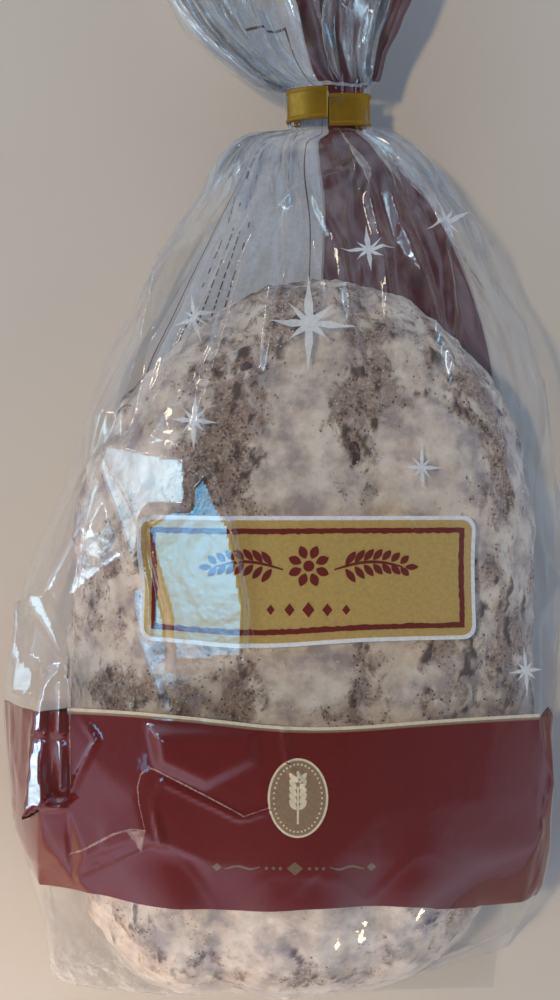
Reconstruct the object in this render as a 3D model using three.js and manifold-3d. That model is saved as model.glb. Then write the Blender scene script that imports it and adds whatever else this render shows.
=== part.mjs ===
// A 500 g stollen in a clear side-gusset film bag, lying on its back panel. The neck of the bag is
// gathered in a flat closing clip and fans out above it. The clear bag is shut, so the bag with the
// loaf in it is one solid out to the film; the clip is a strip wound once round the neck.
// Millimetres, +Z up. The origin is on the resting surface under the middle of the loaf, +Y runs
// along the loaf to the neck, and +X is to the right when the front panel is looked at from above.
import * as THREE from "three";
import { mergeVertices } from "three/addons/utils/BufferGeometryUtils.js";
import Module from "manifold-3d";

const wasm = await Module();
wasm.setup();

// --- Driving dimensions -------------------------------------------------------------------------
const GAP = 0.35; // clearance between the neck and the clip
const NECK = { x: 7.2, z: 22, halfWidth: 10.4, halfHeight: 3.5, from: 134, to: 145.2 };
const CLIP = {
  width: 8.6, // along the neck
  strip: 0.5, // thickness of the strip
  bead: 0.35, // height of the wire bead along each edge
  beadWidth: 1.1,
  lapEnd: 0, // where the outer end stops, as a share of the half width right of the middle
  climb: 1.8, // how far the outer end sits up the neck from the inner end
  gap: 0.002, // share of the turn left open between the layers' ends, so that they don't coincide
  steps: 56, // sections round the neck
};
const SEAM = {
  thickness: 0.8,
  root: 86, // how far down the bag it starts, inside the filled part
  left: [0, 102.4], // its far corners, as place across and distance down the bag
  right: [53.5, 100.5],
  flare: 1.5, // how much further right its root reaches
};
const CROWN_ROUND = 2; // roundness of the front panel across the bag
const PLEATS = { count: 11, uneven: 0.12, unevenFrom: 1, from: 0.8 }; // folds gathered round the neck
const TAIL_RUFFLES = { count: 2.6, from: 0.7 }; // waves across the fanned end
const FRONT_FOLD_ANGLE = (5 * Math.PI) / 6; // where the front's left fold goes round the neck
const GIRTH_STEPS = { front: 20, gusset: 10, back: 16 };
const ROUND = 2.8; // squareness of the neck's and the clip's flattened oval

// A table of key sections, each a row of numbers, as objects with a field for each name.
function keySections(names, rows) {
  const fields = names.split(" ");
  return rows.map((row) => Object.fromEntries(fields.map((field, i) => [field, row[i]])));
}

// Key sections along the bag. front: half width of the front panel, and frontX its middle; edge:
// height of the front panel's side folds; crown: height of its middle; left, right: reach of the
// gusset folds, and ear their height; back: half width of the back panel, backX its middle, and low
// its height.
const BODY = keySections("y front frontX edge crown left right ear back backX low", [
  [-102.5, 20, -17, 0.6, 0.9, 40, 4, 0.5, 2, 0, 0],
  [-101, 26, -20, 2.5, 5, 52, 7, 1, 6, 0, 0],
  [-99, 34, -22, 5, 11, 63, 13, 1.5, 12, 0, 0],
  [-97, 43, -18, 8, 20, 69.5, 29, 2, 26, 0, 0],
  [-94, 51, -11, 11, 29, 70.5, 44, 2.6, 38, 0, 0],
  [-91, 55, -6.5, 13.5, 35, 70.5, 53, 3.3, 43, 0, 0],
  [-88, 56, -5, 17, 39, 70.5, 56.5, 4.2, 45, 0, 0],
  [-77, 57.5, -2.5, 27, 48, 71, 58.5, 7, 47, 0, 0],
  [-66, 57.5, -1, 38, 54, 73.5, 61, 11, 49, 0, 0],
  [-50, 59, 0, 46.5, 59.5, 77.5, 62.5, 18, 51, 0, 0],
  [-15, 59.5, 0, 50, 62.5, 78.5, 65.5, 24, 53, 0, 0],
  [12, 59, 0.5, 50, 63, 73.5, 67, 25, 54, 0, 0],
  [41, 54, 2, 48, 61, 61, 67, 24, 54, 2, 0],
  [64, 47, 4, 45, 57, 55, 65.5, 24, 53, 3, 0],
  [90, 36, 6, 40, 50, 43, 56.5, 24, 44, 6, 0],
  [112, 24, 7, 34.5, 41, 30, 45.5, 24, 32, 7, 4],
  [127, 14, 7, 29.5, 34, 22.5, 35, 23, 20, 7, 10],
  [133, 10, 7, 26, 29, 16, 25.5, 22, 10, 7, 15],
  [134, 6, 7, 24, 25.5, 3.2, 17.6, 22, 6, 7, 18.5],
]);

// Key sections of the gathered oval, from the shoulder through the neck to the fanned end.
// left, right, top and low bound it; pleat: depth of the folds as a share of the radius; gather:
// how much of the section is gathered oval and not flat panels; ruffle: height of its waves.
const GATHERED = keySections("y left right top low pleat gather ruffle", [
  [60, 57, 66, 58, 0, 0, 0, 0],
  [90, 43, 56.5, 50, 0, 0.05, 0.2, 0],
  [112, 30, 45.5, 42, 3, 0.12, 0.55, 0],
  [127, 22, 35, 34, 10, 0.26, 1, 0],
  [132.6, 15, 25.5, 29, 14.5, 0.3, 1, 0],
  [134, 3.2, 17.6, 25.5, 18.5, 0.1, 1, 0],
  [145.2, 3.2, 17.6, 25.5, 18.5, 0.1, 1, 0],
  [148, 11, 20, 26.5, 17.6, 0.28, 1, 0.4],
  [156, 20, 21.5, 28, 16.5, 0.3, 1, 2.2],
  [167, 29.5, 25, 28.5, 16, 0.26, 1, 3.6],
  [200, 46, 34, 27.5, 17, 0.22, 1, 6],
]);
const FAN_ARC = 9; // how far the fanned end's sides fall back from its middle

// Where sections are cut along the bag: [end of the stretch, sections in it].
const STRETCHES = [[-86, 9], [-60, 5], [60, 10], [127, 12], [134, 5], [145.2, 2], [156, 4], [200, 9]];

// --- Shared functions ---------------------------------------------------------------------------
// A field's value at y: a monotone cubic through the keys, so no form overshoots its key sections.
function along(keys, field, y) {
  const last = keys.length - 1;
  if (y <= keys[0].y) return keys[0][field];
  if (y >= keys[last].y) return keys[last][field];
  const secant = (k) => (keys[k + 1][field] - keys[k][field]) / (keys[k + 1].y - keys[k].y);
  const slope = (k) => {
    if (k === 0 || k === last) return secant(Math.min(k, last - 1));
    const before = secant(k - 1);
    const after = secant(k);
    return before * after <= 0 ? 0 : (2 * before * after) / (before + after);
  };
  const i = keys.findIndex((key) => key.y > y) - 1;
  const span = keys[i + 1].y - keys[i].y;
  const t = (y - keys[i].y) / span;
  const rise = keys[i + 1][field] - keys[i][field];
  const bend = t * (1 - t);
  return (
    keys[i][field] +
    rise * t * t * (3 - 2 * t) +
    span * bend * ((1 - t) * slope(i) - t * slope(i + 1))
  );
}

// A signed power, which turns a circle's cosine and sine into a squared oval's.
const power = (value, exponent) => Math.sign(value) * Math.abs(value) ** exponent;

// A closed skin over rings of equal length, with a fan over each end or joined end to end.
function skin(rings, endless = false) {
  const around = rings[0].length;
  const points = rings.flat();
  const faces = [];
  const stretches = endless ? rings.length : rings.length - 1;
  for (let r = 0; r < stretches; r++) {
    for (let i = 0; i < around; i++) {
      const a = r * around + i;
      const b = r * around + ((i + 1) % around);
      const next = ((r + 1) % rings.length) * around;
      const c = next + ((i + 1) % around);
      const d = next + i;
      faces.push(a, b, c, a, c, d);
    }
  }
  if (!endless) {
    const lastStart = (rings.length - 1) * around;
    for (const [start, turned] of [[0, true], [lastStart, false]]) {
      const hub = points.length;
      const ring = points.slice(start, start + around);
      points.push(ring.reduce((sum, p) => sum.add(p), new THREE.Vector3()).divideScalar(around));
      for (let i = 0; i < around; i++) {
        const a = start + i;
        const b = start + ((i + 1) % around);
        faces.push(hub, turned ? b : a, turned ? a : b);
      }
    }
  }
  const geometry = new THREE.BufferGeometry().setFromPoints(points);
  geometry.setIndex(faces);
  return geometry;
}

function toSolid(geometry) {
  const bare = geometry.clone();
  bare.deleteAttribute("normal");
  bare.deleteAttribute("uv");
  const merged = mergeVertices(bare, 1e-4);
  return new wasm.Manifold(
    new wasm.Mesh({
      numProp: 3,
      vertProperties: merged.attributes.position.array,
      triVerts: new Uint32Array(merged.index.array),
    }),
  );
}

function toGeometry(solid) {
  const mesh = solid.getMesh();
  const geometry = new THREE.BufferGeometry();
  geometry.setAttribute("position", new THREE.BufferAttribute(mesh.vertProperties, 3));
  geometry.setIndex(new THREE.BufferAttribute(mesh.triVerts, 1));
  geometry.computeVertexNormals();
  return geometry;
}

function piece(name, geometry, material) {
  const mesh = new THREE.Mesh(geometry, material);
  mesh.name = name;
  return mesh;
}

// --- The bag ------------------------------------------------------------------------------------
// One turn round the bag's panels as [panel, share across it], starting at the front's left fold.
function turnOfPanels() {
  const { front, gusset, back } = GIRTH_STEPS;
  const panels = [["front", front], ["right", gusset], ["back", back], ["left", gusset]];
  return panels.flatMap(([panel, steps]) =>
    Array.from({ length: steps }, (_, i) => [panel, i / steps]),
  );
}

// A point of the flat-panelled section at y: a crowned front, a flat back, and gussets folded outwards.
function panelPoint(panel, share, y) {
  const at = (field) => along(BODY, field, y);
  const left = at("frontX") - at("front");
  const right = at("frontX") + at("front");
  if (panel === "front") {
    const across = 2 * share - 1;
    const crown = 1 - Math.abs(across) ** CROWN_ROUND;
    return [THREE.MathUtils.lerp(left, right, share), at("edge") + (at("crown") - at("edge")) * crown];
  }
  if (panel === "back") return [at("backX") + at("back") * (1 - 2 * share), at("low")];
  const side = panel === "right" ? 1 : -1;
  const down = panel === "right" ? share : 1 - share; // 0 at the front fold, 1 at the back fold
  const frontFold = [side > 0 ? right : left, at("edge")];
  const ear = [side * at(panel), Math.max(at("ear"), at("low"))];
  const backFold = [at("backX") + side * at("back"), at("low")];
  const [from, to, t] = down < 0.5 ? [frontFold, ear, down * 2] : [ear, backFold, down * 2 - 1];
  return [THREE.MathUtils.lerp(from[0], to[0], t), THREE.MathUtils.lerp(from[1], to[1], t)];
}

// A point of the gathered section at y: a flattened oval with pleats folded into it.
function gatheredPoint(turn, y) {
  const at = (field) => along(GATHERED, field, y);
  const angle = FRONT_FOLD_ANGLE - 2 * Math.PI * turn;
  const spread = angle + PLEATS.uneven * Math.sin(2 * angle + PLEATS.unevenFrom);
  const uneven = PLEATS.count * spread + PLEATS.from;
  const fold = 1 - at("pleat") * (0.5 - 0.5 * Math.cos(uneven));
  const middle = [(at("right") - at("left")) / 2, (at("top") + at("low")) / 2];
  const across = power(Math.cos(angle), 2 / ROUND);
  const up = power(Math.sin(angle), 2 / ROUND);
  const reach = (at("right") + at("left")) / 2;
  const rise = (at("top") - at("low")) / 2;
  const wave = at("ruffle") * Math.sin(Math.PI * TAIL_RUFFLES.count * across + TAIL_RUFFLES.from);
  return [middle[0] + reach * across * fold, middle[1] + rise * up * fold + wave, across];
}

function bagSection(y) {
  const turn = turnOfPanels();
  const gather = along(GATHERED, "gather", y);
  const fanned = Math.max(0, y - NECK.to) / (GATHERED.at(-1).y - NECK.to);
  return turn.map(([panel, share], i) => {
    const [gx, gz, across] = gatheredPoint(i / turn.length, y);
    const [px, pz] = gather < 1 ? panelPoint(panel, share, y) : [gx, gz];
    const x = THREE.MathUtils.lerp(px, gx, gather);
    const z = Math.max(0, THREE.MathUtils.lerp(pz, gz, gather));
    return new THREE.Vector3(x, y - FAN_ARC * fanned * across * across, z);
  });
}

function bagStations() {
  const stations = [BODY[0].y];
  for (const [end, count] of STRETCHES) {
    const start = stations.at(-1);
    for (let i = 1; i <= count; i++) stations.push(THREE.MathUtils.lerp(start, end, i / count));
  }
  return stations;
}

// The sealed bottom seam of the bag, a flat tab that shows past the bottom edge on the right.
function seamTab() {
  const { thickness, root, left, right, flare } = SEAM;
  const outline = new THREE.Shape([
    new THREE.Vector2(left[0], -root),
    new THREE.Vector2(left[0], -left[1]),
    new THREE.Vector2(right[0], -right[1]),
    new THREE.Vector2(right[0] + flare, -root),
  ]);
  return new THREE.ExtrudeGeometry(outline, { depth: thickness, bevelEnabled: false });
}

function bag() {
  const film = new THREE.MeshStandardMaterial({ color: 0xb9bcc2, roughness: 0.15, metalness: 0 });
  const filled = toSolid(skin(bagStations().map(bagSection)));
  return piece("bag", toGeometry(filled.add(toSolid(seamTab()))), film);
}

// --- The clip -----------------------------------------------------------------------------------
// The strip's section as [outwards, along the neck]: flat, with a wire bead along each edge.
function stripSection(thickness) {
  const { width, bead, beadWidth } = CLIP;
  const half = width / 2;
  const outer = [
    [thickness, -half],
    [thickness + bead, -half + beadWidth / 2],
    [thickness, -half + beadWidth],
    [thickness, half - beadWidth],
    [thickness + bead, half - beadWidth / 2],
    [thickness, half],
  ];
  return [[0, half], ...outer.reverse(), [0, -half]];
}

// The strip goes once round the neck from its inner end, under the neck and back over its own end,
// so it thickens to two layers and climbs as it goes.
function clip() {
  const reach = NECK.halfWidth + GAP;
  const rise = NECK.halfHeight + GAP;
  const start = Math.acos(CLIP.lapEnd);
  const middle = (NECK.from + NECK.to) / 2 - CLIP.climb / 2;
  const rings = Array.from({ length: CLIP.steps + 1 }, (_, i) => {
    const wound = i / CLIP.steps;
    const angle = start - 2 * Math.PI * Math.min(wound, 1 - CLIP.gap);
    const across = power(Math.cos(angle), 2 / ROUND);
    const up = power(Math.sin(angle), 2 / ROUND);
    const outwards = new THREE.Vector2(Math.cos(angle) / reach, Math.sin(angle) / rise).normalize();
    return stripSection(CLIP.strip * (1 + wound)).map(
      ([out, lift]) =>
        new THREE.Vector3(
          NECK.x + reach * across + outwards.x * out,
          middle + lift + CLIP.climb * wound,
          NECK.z + rise * up + outwards.y * out,
        ),
    );
  });
  const gold = new THREE.MeshStandardMaterial({ color: 0xb98a1e, roughness: 0.35, metalness: 0.6 });
  return piece("clip", skin(rings, true), gold);
}

const stollenInBag = new THREE.Group();
stollenInBag.add(bag(), clip());

export default stollenInBag;
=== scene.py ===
"""A stollen in a clear side-gusset film bag: its film, print, loaf, clip and the stage it lies on."""
import functools
import math
import random

import bpy
import numpy as np
from bpy.props import (
    FloatProperty,
    FloatVectorProperty,
    IntProperty,
    PointerProperty,
)
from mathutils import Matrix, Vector, geometry, noise


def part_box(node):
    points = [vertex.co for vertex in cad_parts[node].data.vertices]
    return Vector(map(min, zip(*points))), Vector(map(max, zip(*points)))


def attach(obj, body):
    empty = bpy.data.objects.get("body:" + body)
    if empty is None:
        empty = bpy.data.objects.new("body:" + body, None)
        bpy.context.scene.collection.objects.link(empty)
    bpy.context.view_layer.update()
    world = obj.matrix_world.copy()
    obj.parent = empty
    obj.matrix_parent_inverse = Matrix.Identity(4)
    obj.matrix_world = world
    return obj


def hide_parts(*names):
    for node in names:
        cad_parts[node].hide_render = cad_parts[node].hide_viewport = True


bl_info = {
    "name": "Stollen in a film bag",
    "version": (1, 0, 0),
    "blender": (4, 5, 0),
    "location": "View3D > Sidebar > Stollen",
    "description": "Makes a sugared stollen in a clear printed bag around its packed frame",
    "category": "Object",
}

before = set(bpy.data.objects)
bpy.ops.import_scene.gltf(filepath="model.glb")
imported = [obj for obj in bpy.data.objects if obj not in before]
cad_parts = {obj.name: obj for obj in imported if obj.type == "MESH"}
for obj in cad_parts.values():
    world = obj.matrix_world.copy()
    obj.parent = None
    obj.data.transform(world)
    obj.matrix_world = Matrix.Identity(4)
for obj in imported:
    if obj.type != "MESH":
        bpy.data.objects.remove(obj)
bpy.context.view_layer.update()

MM = 0.001
BODY = "root"

# --- Form of the bag, in millimetres ------------------------------------------------------------
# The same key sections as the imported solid's: front panel, side folds, gussets and back panel.
PANELS = {
    "y": (-102.5, -101, -99, -97, -94, -91, -88, -77, -66, -50, -15, 12, 41, 64, 90, 112, 127, 133, 134),
    "front": (20, 26, 34, 43, 51, 55, 56, 57.5, 57.5, 59, 59.5, 59, 54, 47, 36, 24, 14, 10, 6),
    "front_x": (-17, -20, -22, -18, -11, -6.5, -5, -2.5, -1, 0, 0, 0.5, 2, 4, 6, 7, 7, 7, 7),
    "edge": (0.6, 2.5, 5, 8, 11, 13.5, 17, 27, 38, 46.5, 50, 50, 48, 45, 40, 34.5, 29.5, 26, 24),
    "crown": (0.9, 5, 11, 20, 29, 35, 39, 48, 54, 59.5, 62.5, 63, 61, 57, 50, 41, 34, 29, 25.5),
    "left": (40, 52, 63, 69.5, 70.5, 70.5, 70.5, 71, 73.5, 77.5, 78.5, 73.5, 61, 55, 43, 30, 22.5, 16, 3.2),
    "right": (4, 7, 13, 29, 44, 53, 56.5, 58.5, 61, 62.5, 65.5, 67, 67, 64.5, 55.5, 43.5, 32, 24, 17.6),
    "ear": (0.5, 1, 1.5, 2, 2.6, 3.3, 4.2, 7, 11, 18, 24, 25, 24, 24, 24, 24, 23, 22, 22),
    "back": (2, 6, 12, 26, 38, 43, 45, 47, 49, 51, 53, 54, 54, 53, 44, 32, 20, 10, 6),
    "back_x": (0, 0, 0, 0, 0, 0, 0, 0, 0, 0, 0, 0, 2, 3, 6, 7, 7, 7, 7),
    "low": (0.2, 0.2, 0.2, 0.2, 0.2, 0.2, 0.2, 0.2, 0.2, 0.2, 0.2, 0.2, 0.2, 0.2, 0.2, 4, 10, 15, 18.5),
}
GATHERED = {
    "y": (60, 90, 112, 127, 132.6, 134, 145.2, 148, 156, 167, 200),
    "left": (57, 43, 30, 22, 15, 3.2, 3.2, 11, 20, 29.5, 46),
    "right": (65, 55.5, 43.5, 32, 24, 17.6, 17.6, 20, 21.5, 25, 34),
    "top": (58, 50, 42, 34, 29, 25.5, 25.5, 26.5, 28, 28.5, 27.5),
    "low": (0.2, 0.2, 3, 10, 14.5, 18.5, 18.5, 17.6, 16.5, 16, 17),
    "gather": (0, 0.2, 0.55, 1, 1, 1, 1, 1, 1, 1, 1),
    "ruffle": (0, 0, 0, 0, 0, 0, 0, 0.6, 2.4, 3.8, 5.5),
}
FOOT, NECK_FROM, NECK_TO, TAIL_END = -102.5, 134.0, 145.2, 200.0
CORNER_ROW = -97.0  # where the bottom corners have their full width
NECK_ROUND = 2.8  # exponent of the gathered section's oval
FAN_ARC = 9.0  # how far the tail's sides hang back behind its middle

# The sheet laid flat: panels as stretches of the girth, from the middle of the front panel.
FRONT_FOLD, EAR_FOLD, BACK_FOLD, GIRTH = 65.0, 100.0, 135.0, 400.0
COLUMNS = {"front": 148, "gusset": 52, "back": 48}
ROW_STRETCHES = [
    (FOOT, -88, 30), (-88, 64, 152), (64, 128, 64),
    (128, NECK_FROM, 12), (NECK_FROM, NECK_TO, 8), (NECK_TO, TAIL_END, 50),
]
INK_DEPTH = 0.12  # ink lies on the inside of the film
LOAF_CLEARANCE, TABLE_CLEARANCE = 2.1, 0.25  # how far the film stays off the loaf and the table
REST_SOFTNESS = 0.8  # height over which the film eases on to what it rests on
RESTS_TO = 132.0  # the film rests on what is below it up to here, where the neck begins

# --- Form of the loaf ---------------------------------------------------------------------------
LOAF = {
    "y": (-98, -96.5, -93, -87, -75, -57, -17, 20, 36, 51, 67, 78, 86, 91, 93.5),
    "left": (22, 34, 41, 47.5, 54.5, 59.5, 61, 61, 59.5, 54, 43, 32, 21, 11, 2),
    "right": (6, 16, 25, 34, 45.5, 56, 60.5, 61.5, 60.5, 57.5, 50, 41, 32, 22, 11),
    "top": (13, 22, 33, 43, 50.5, 55.5, 58, 58.5, 58, 56.2, 52.5, 47.5, 41, 33, 22),
    "waist": (9, 11, 14, 17, 19, 20, 20, 20, 20, 20, 19, 18, 16, 14, 12),
}
LOAF_FLOOR = 1.2
LOAF_ROUND = 2.5
FURROWS = [(-20, 8.5, 3.6), (17, 7.5, 3.0)]  # lengthwise furrows: place across, half width, depth


# --- Numbers ------------------------------------------------------------------------------------
def along(table, field, y):
    """A field's value at y: a monotone cubic through the table's keys."""
    keys, values = np.array(table["y"], float), np.array(table[field], float)
    secant = np.diff(values) / np.diff(keys)
    before, after = secant[:-1], secant[1:]
    same_way = before * after > 0
    mean = 2 * before * after / np.where(same_way, before + after, 1)
    slope = np.concatenate([secant[:1], np.where(same_way, mean, 0), secant[-1:]])
    y = np.clip(y, keys[0], keys[-1])
    i = np.clip(np.searchsorted(keys, y, side="right") - 1, 0, len(keys) - 2)
    span = keys[i + 1] - keys[i]
    t = (y - keys[i]) / span
    rise = values[i + 1] - values[i]
    bend = t * (1 - t)
    return values[i] + rise * t * t * (3 - 2 * t) + span * bend * ((1 - t) * slope[i] - t * slope[i + 1])


def lerp(a, b, t):
    return a + (b - a) * t


def smooth(low, high, value):
    t = np.clip((value - low) / (high - low), 0, 1)
    return t * t * (3 - 2 * t)


def power(value, exponent):
    return np.sign(value) * np.abs(value) ** exponent


def signed_place(u):
    """A place round the girth, negative on the left of the front panel's middle."""
    return np.where(u > GIRTH / 2, u - GIRTH, u)


def bell(*terms):
    """A mound that is 1 in its middle: each term is a value, the mound's middle and its reach."""
    return np.exp(-sum(((value - middle) / reach) ** 2 for value, middle, reach in terms))


def turned(x, y, across, up, angle):
    """A place across and up from (x, y), turned about it by an angle."""
    c, s = math.cos(angle), math.sin(angle)
    return x + across * c - up * s, y + across * s + up * c


def from_stretch(a, b, x, y):
    """How far along the stretch from a to b each place's nearest point is, and the way from there."""
    t = np.clip(((x - a[0]) * (b[0] - a[0]) + (y - a[1]) * (b[1] - a[1])) / math.dist(a, b) ** 2, 0, 1)
    return t, x - lerp(a[0], b[0], t), y - lerp(a[1], b[1], t)


def linear(hex_colour):
    """An sRGB hex colour as linear red, green and blue."""
    parts = [int(hex_colour[i : i + 2], 16) / 255 for i in (0, 2, 4)]
    return tuple(c / 12.92 if c <= 0.04045 else ((c + 0.055) / 1.055) ** 2.4 for c in parts)


# --- Meshes -------------------------------------------------------------------------------------
def new_piece(name, points, faces, material, slot):
    """A mesh piece from points in millimetres, which rides on the pack."""
    mesh = bpy.data.meshes.new(name)
    mesh.from_pydata((np.asarray(points) * MM).tolist(), [], [tuple(map(int, f)) for f in faces])
    mesh.validate()
    mesh.update()
    mesh.shade_smooth()
    mesh.materials.append(material)
    piece = bpy.data.objects.new(name, mesh)
    bpy.context.scene.collection.objects.link(piece)
    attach(piece, BODY)
    return piece


def joined_piece(name, shapes, material, slot):
    """One piece of many small shapes, each (points, faces)."""
    points, faces, start = [], [], 0
    for shape_points, shape_faces in shapes:
        points.append(shape_points)
        faces += [tuple(start + k for k in face) for face in shape_faces]
        start += len(shape_points)
    return new_piece(name, np.concatenate(points), faces, material, slot)


def new_field(piece, name, values):
    """A number at each of a piece's points, for its material."""
    layer = piece.data.attributes.new(name, "FLOAT", "POINT")
    layer.data.foreach_set("value", np.asarray(values, np.float32))


def grid_faces(rows, columns, ring=True):
    """Quads over a grid of rows by columns; in a ring, each row's last column joins its first."""
    r, c = np.meshgrid(np.arange(rows - 1), np.arange(columns if ring else columns - 1), indexing="ij")
    low, high, across = r * columns, (r + 1) * columns, (c + 1) % columns
    return np.stack([low + c, low + across, high + across, high + c], -1).reshape(-1, 4)


def capped_faces(rows, columns):
    """Faces over rings, with a fan at each end to the two hubs that follow the rings' points."""
    start, end = rows * columns, (rows - 1) * columns
    faces = [tuple(quad) for quad in grid_faces(rows, columns)]
    faces += [(start, (i + 1) % columns, i) for i in range(columns)]
    faces += [(start + 1, end + i, end + (i + 1) % columns) for i in range(columns)]
    return faces


# --- Nodes --------------------------------------------------------------------------------------
def add(tree, kind, links=None, stops=(), **settings):
    """Adds a node with its settings, and with colour stops of (place, linear colour or grey). Its
    inputs get values, sockets, or nodes, which stand for their first output."""
    new = tree.nodes.new(f"ShaderNode{kind}")
    for name, value in settings.items():
        setattr(new, name, value)
    for place, source in (links or {}).items():
        if isinstance(source, bpy.types.Node):
            source = source.outputs[0]
        if isinstance(source, bpy.types.NodeSocket):
            tree.links.new(source, new.inputs[place])
        else:
            new.inputs[place].default_value = source
    if stops:
        elements = new.color_ramp.elements
        while len(elements) < len(stops):
            elements.new(0.5)
        for element, (place, colour) in zip(elements, stops):
            element.position = place
            element.color = (*colour, 1) if isinstance(colour, tuple) else (colour, colour, colour, 1)
    return new


def new_material(name):
    """An empty material, its node tree and the piece's own coordinates in it."""
    material = bpy.data.materials.new(name)
    material.use_nodes = True
    tree = material.node_tree
    tree.nodes.clear()
    return material, tree, add(tree, "TexCoord").outputs["Object"]


def blotches(place, size, detail=3.0, roughness=0.55):
    """Inputs for a noise whose largest blotches are size millimetres across."""
    return {"Vector": place, "Scale": 1 / (size * MM), "Detail": detail, "Roughness": roughness}


def patchy(tree, stops, *noise):
    """Tones that change in patches: stops over a noise, which is given as blotches takes it."""
    return add(tree, "ValToRGB", {"Fac": add(tree, "TexNoise", blotches(*noise))}, stops)


# --- The film's form ----------------------------------------------------------------------------
def spread(stretches):
    """Stations from the first stretch's start to the last one's end."""
    parts = [np.linspace(start, end, count, endpoint=False) for start, end, count in stretches]
    return np.concatenate([*parts, [stretches[-1][1]]])


@functools.cache
def sheet_lines():
    """The film's columns as places round its girth, and its rows as places along it."""
    front, gusset, back = COLUMNS["front"], COLUMNS["gusset"], COLUMNS["back"]
    around = [
        (-FRONT_FOLD, FRONT_FOLD, front),
        (FRONT_FOLD, EAR_FOLD, gusset // 2),
        (EAR_FOLD, BACK_FOLD, gusset // 2),
        (BACK_FOLD, GIRTH - BACK_FOLD, back),
        (GIRTH - BACK_FOLD, GIRTH - EAR_FOLD, gusset // 2),
        (GIRTH - EAR_FOLD, GIRTH - FRONT_FOLD, gusset // 2),
    ]
    return spread(around)[:-1], spread(ROW_STRETCHES)


def sag(t):
    """How far a gusset's upper half has dropped at a share of its width: gently, then steeply."""
    return 0.22 * t + 0.78 * t**3.4


def panelled(u, y):
    """Across and up of the flat-panelled section: a crowned front, ears at the gussets, a flat back."""
    at = {field: along(PANELS, field, y) for field in PANELS if field != "y"}
    left, right = at["front_x"] - at["front"], at["front_x"] + at["front"]
    share = (u + FRONT_FOLD) / (2 * FRONT_FOLD)
    across = np.clip(2 * share - 1, -1, 1)
    x, z = lerp(left, right, share), at["edge"] + (at["crown"] - at["edge"]) * (1 - np.abs(across) ** 1.9)
    ear_up = np.maximum(at["ear"], at["low"])
    folds = [
        (FRONT_FOLD, right, at["edge"]),
        (EAR_FOLD, at["right"], ear_up),
        (BACK_FOLD, at["back_x"] + at["back"], at["low"]),
        (GIRTH - BACK_FOLD, at["back_x"] - at["back"], at["low"]),
        (GIRTH - EAR_FOLD, -at["left"], ear_up),
        (GIRTH - FRONT_FOLD, left, at["edge"]),
    ]
    drops = [sag, None, None, None, lambda t: 1 - sag(1 - t)]
    for (start, x0, z0), (end, x1, z1), drop in zip(folds, folds[1:], drops):
        inside = (u >= start) & (u < end)
        t = np.clip((u - start) / (end - start), 0, 1)
        belly = 4 * t * (1 - t) * (end - start < 50)  # a gusset's panels bow a little
        x = np.where(inside, lerp(x0, x1, t) + np.sign(x0 + x1) * 1.2 * belly, x)
        z = np.where(inside, lerp(z0, z1, drop(t) if drop else t), z)
    return x, z


def neck_angle(u):
    """The angle round the gathered section that a place on the girth goes to."""
    return math.pi * (0.5 - 2 * u / GIRTH)


def gathered(u, y, pleats):
    """Across and up of the gathered section: a flattened oval, pleated and ruffled."""
    at = {field: along(GATHERED, field, y) for field in GATHERED if field != "y"}
    angle = neck_angle(u)
    cosine, sine = power(np.cos(angle), 2 / NECK_ROUND), power(np.sin(angle), 2 / NECK_ROUND)
    reach, rise = (at["right"] + at["left"]) / 2, (at["top"] - at["low"]) / 2
    fold = 1 - pleats
    wave = at["ruffle"] * (np.sin(8.2 * cosine + 0.7) + 0.45 * np.sin(17 * cosine + 2.1 + y / 9))
    x = (at["right"] - at["left"]) / 2 + reach * cosine * (0.35 + 0.65 * fold)
    z = (at["top"] + at["low"]) / 2 + rise * sine * fold + wave
    return x, z, cosine


def pleat_depth(u, y):
    """Depth of the folds gathered round the neck, as a share of the section's radius."""
    draw = random.Random(11)
    depth = np.zeros(np.broadcast(u, y).shape)
    count = 34
    for k in range(count):
        centre = GIRTH * (k + draw.uniform(-0.35, 0.35)) / count - FRONT_FOLD
        half_width = draw.uniform(3.5, 8.5)
        start = draw.choice([64, 76, 88, 96, 104, 110])
        deep = draw.uniform(0.45, 1.0)
        lean = draw.uniform(-0.16, 0.16)
        leant = u - centre - lean * (NECK_FROM - np.minimum(y, NECK_FROM))
        off = np.abs((leant + GIRTH / 2) % GIRTH - GIRTH / 2)
        profile = np.clip(1 - off / half_width, 0, 1) ** 1.15
        below = smooth(start, 126, y) * lerp(0.12, 0.5, smooth(95, 133, y))
        in_neck = lerp(below, 0.1, smooth(132.5, NECK_FROM, y))
        above = lerp(0.1, 0.42, smooth(NECK_TO, NECK_TO + 4, y))
        depth = np.maximum(depth, deep * profile * np.where(y > NECK_TO, above, in_neck))
    return depth


def loaf_top(x, y):
    """Height of the loaf's upper side, without its lumps."""
    left, right = along(LOAF, "left", y), along(LOAF, "right", y)
    top, waist = along(LOAF, "top", y), along(LOAF, "waist", y)
    middle, half = (right - left) / 2, (right + left) / 2
    across = np.clip(np.abs(x - middle) / half, 0, 1)
    height = waist + (top - waist) * (1 - across**LOAF_ROUND) ** (1 / LOAF_ROUND)
    inside = (np.abs(x - middle) < half) & (y > LOAF["y"][0]) & (y < LOAF["y"][-1])
    for place, half_width, depth in FURROWS:
        height = height - depth * bell((x, place, half_width)) * (1 - across**4)
    return np.where(inside, height, 0)


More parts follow.
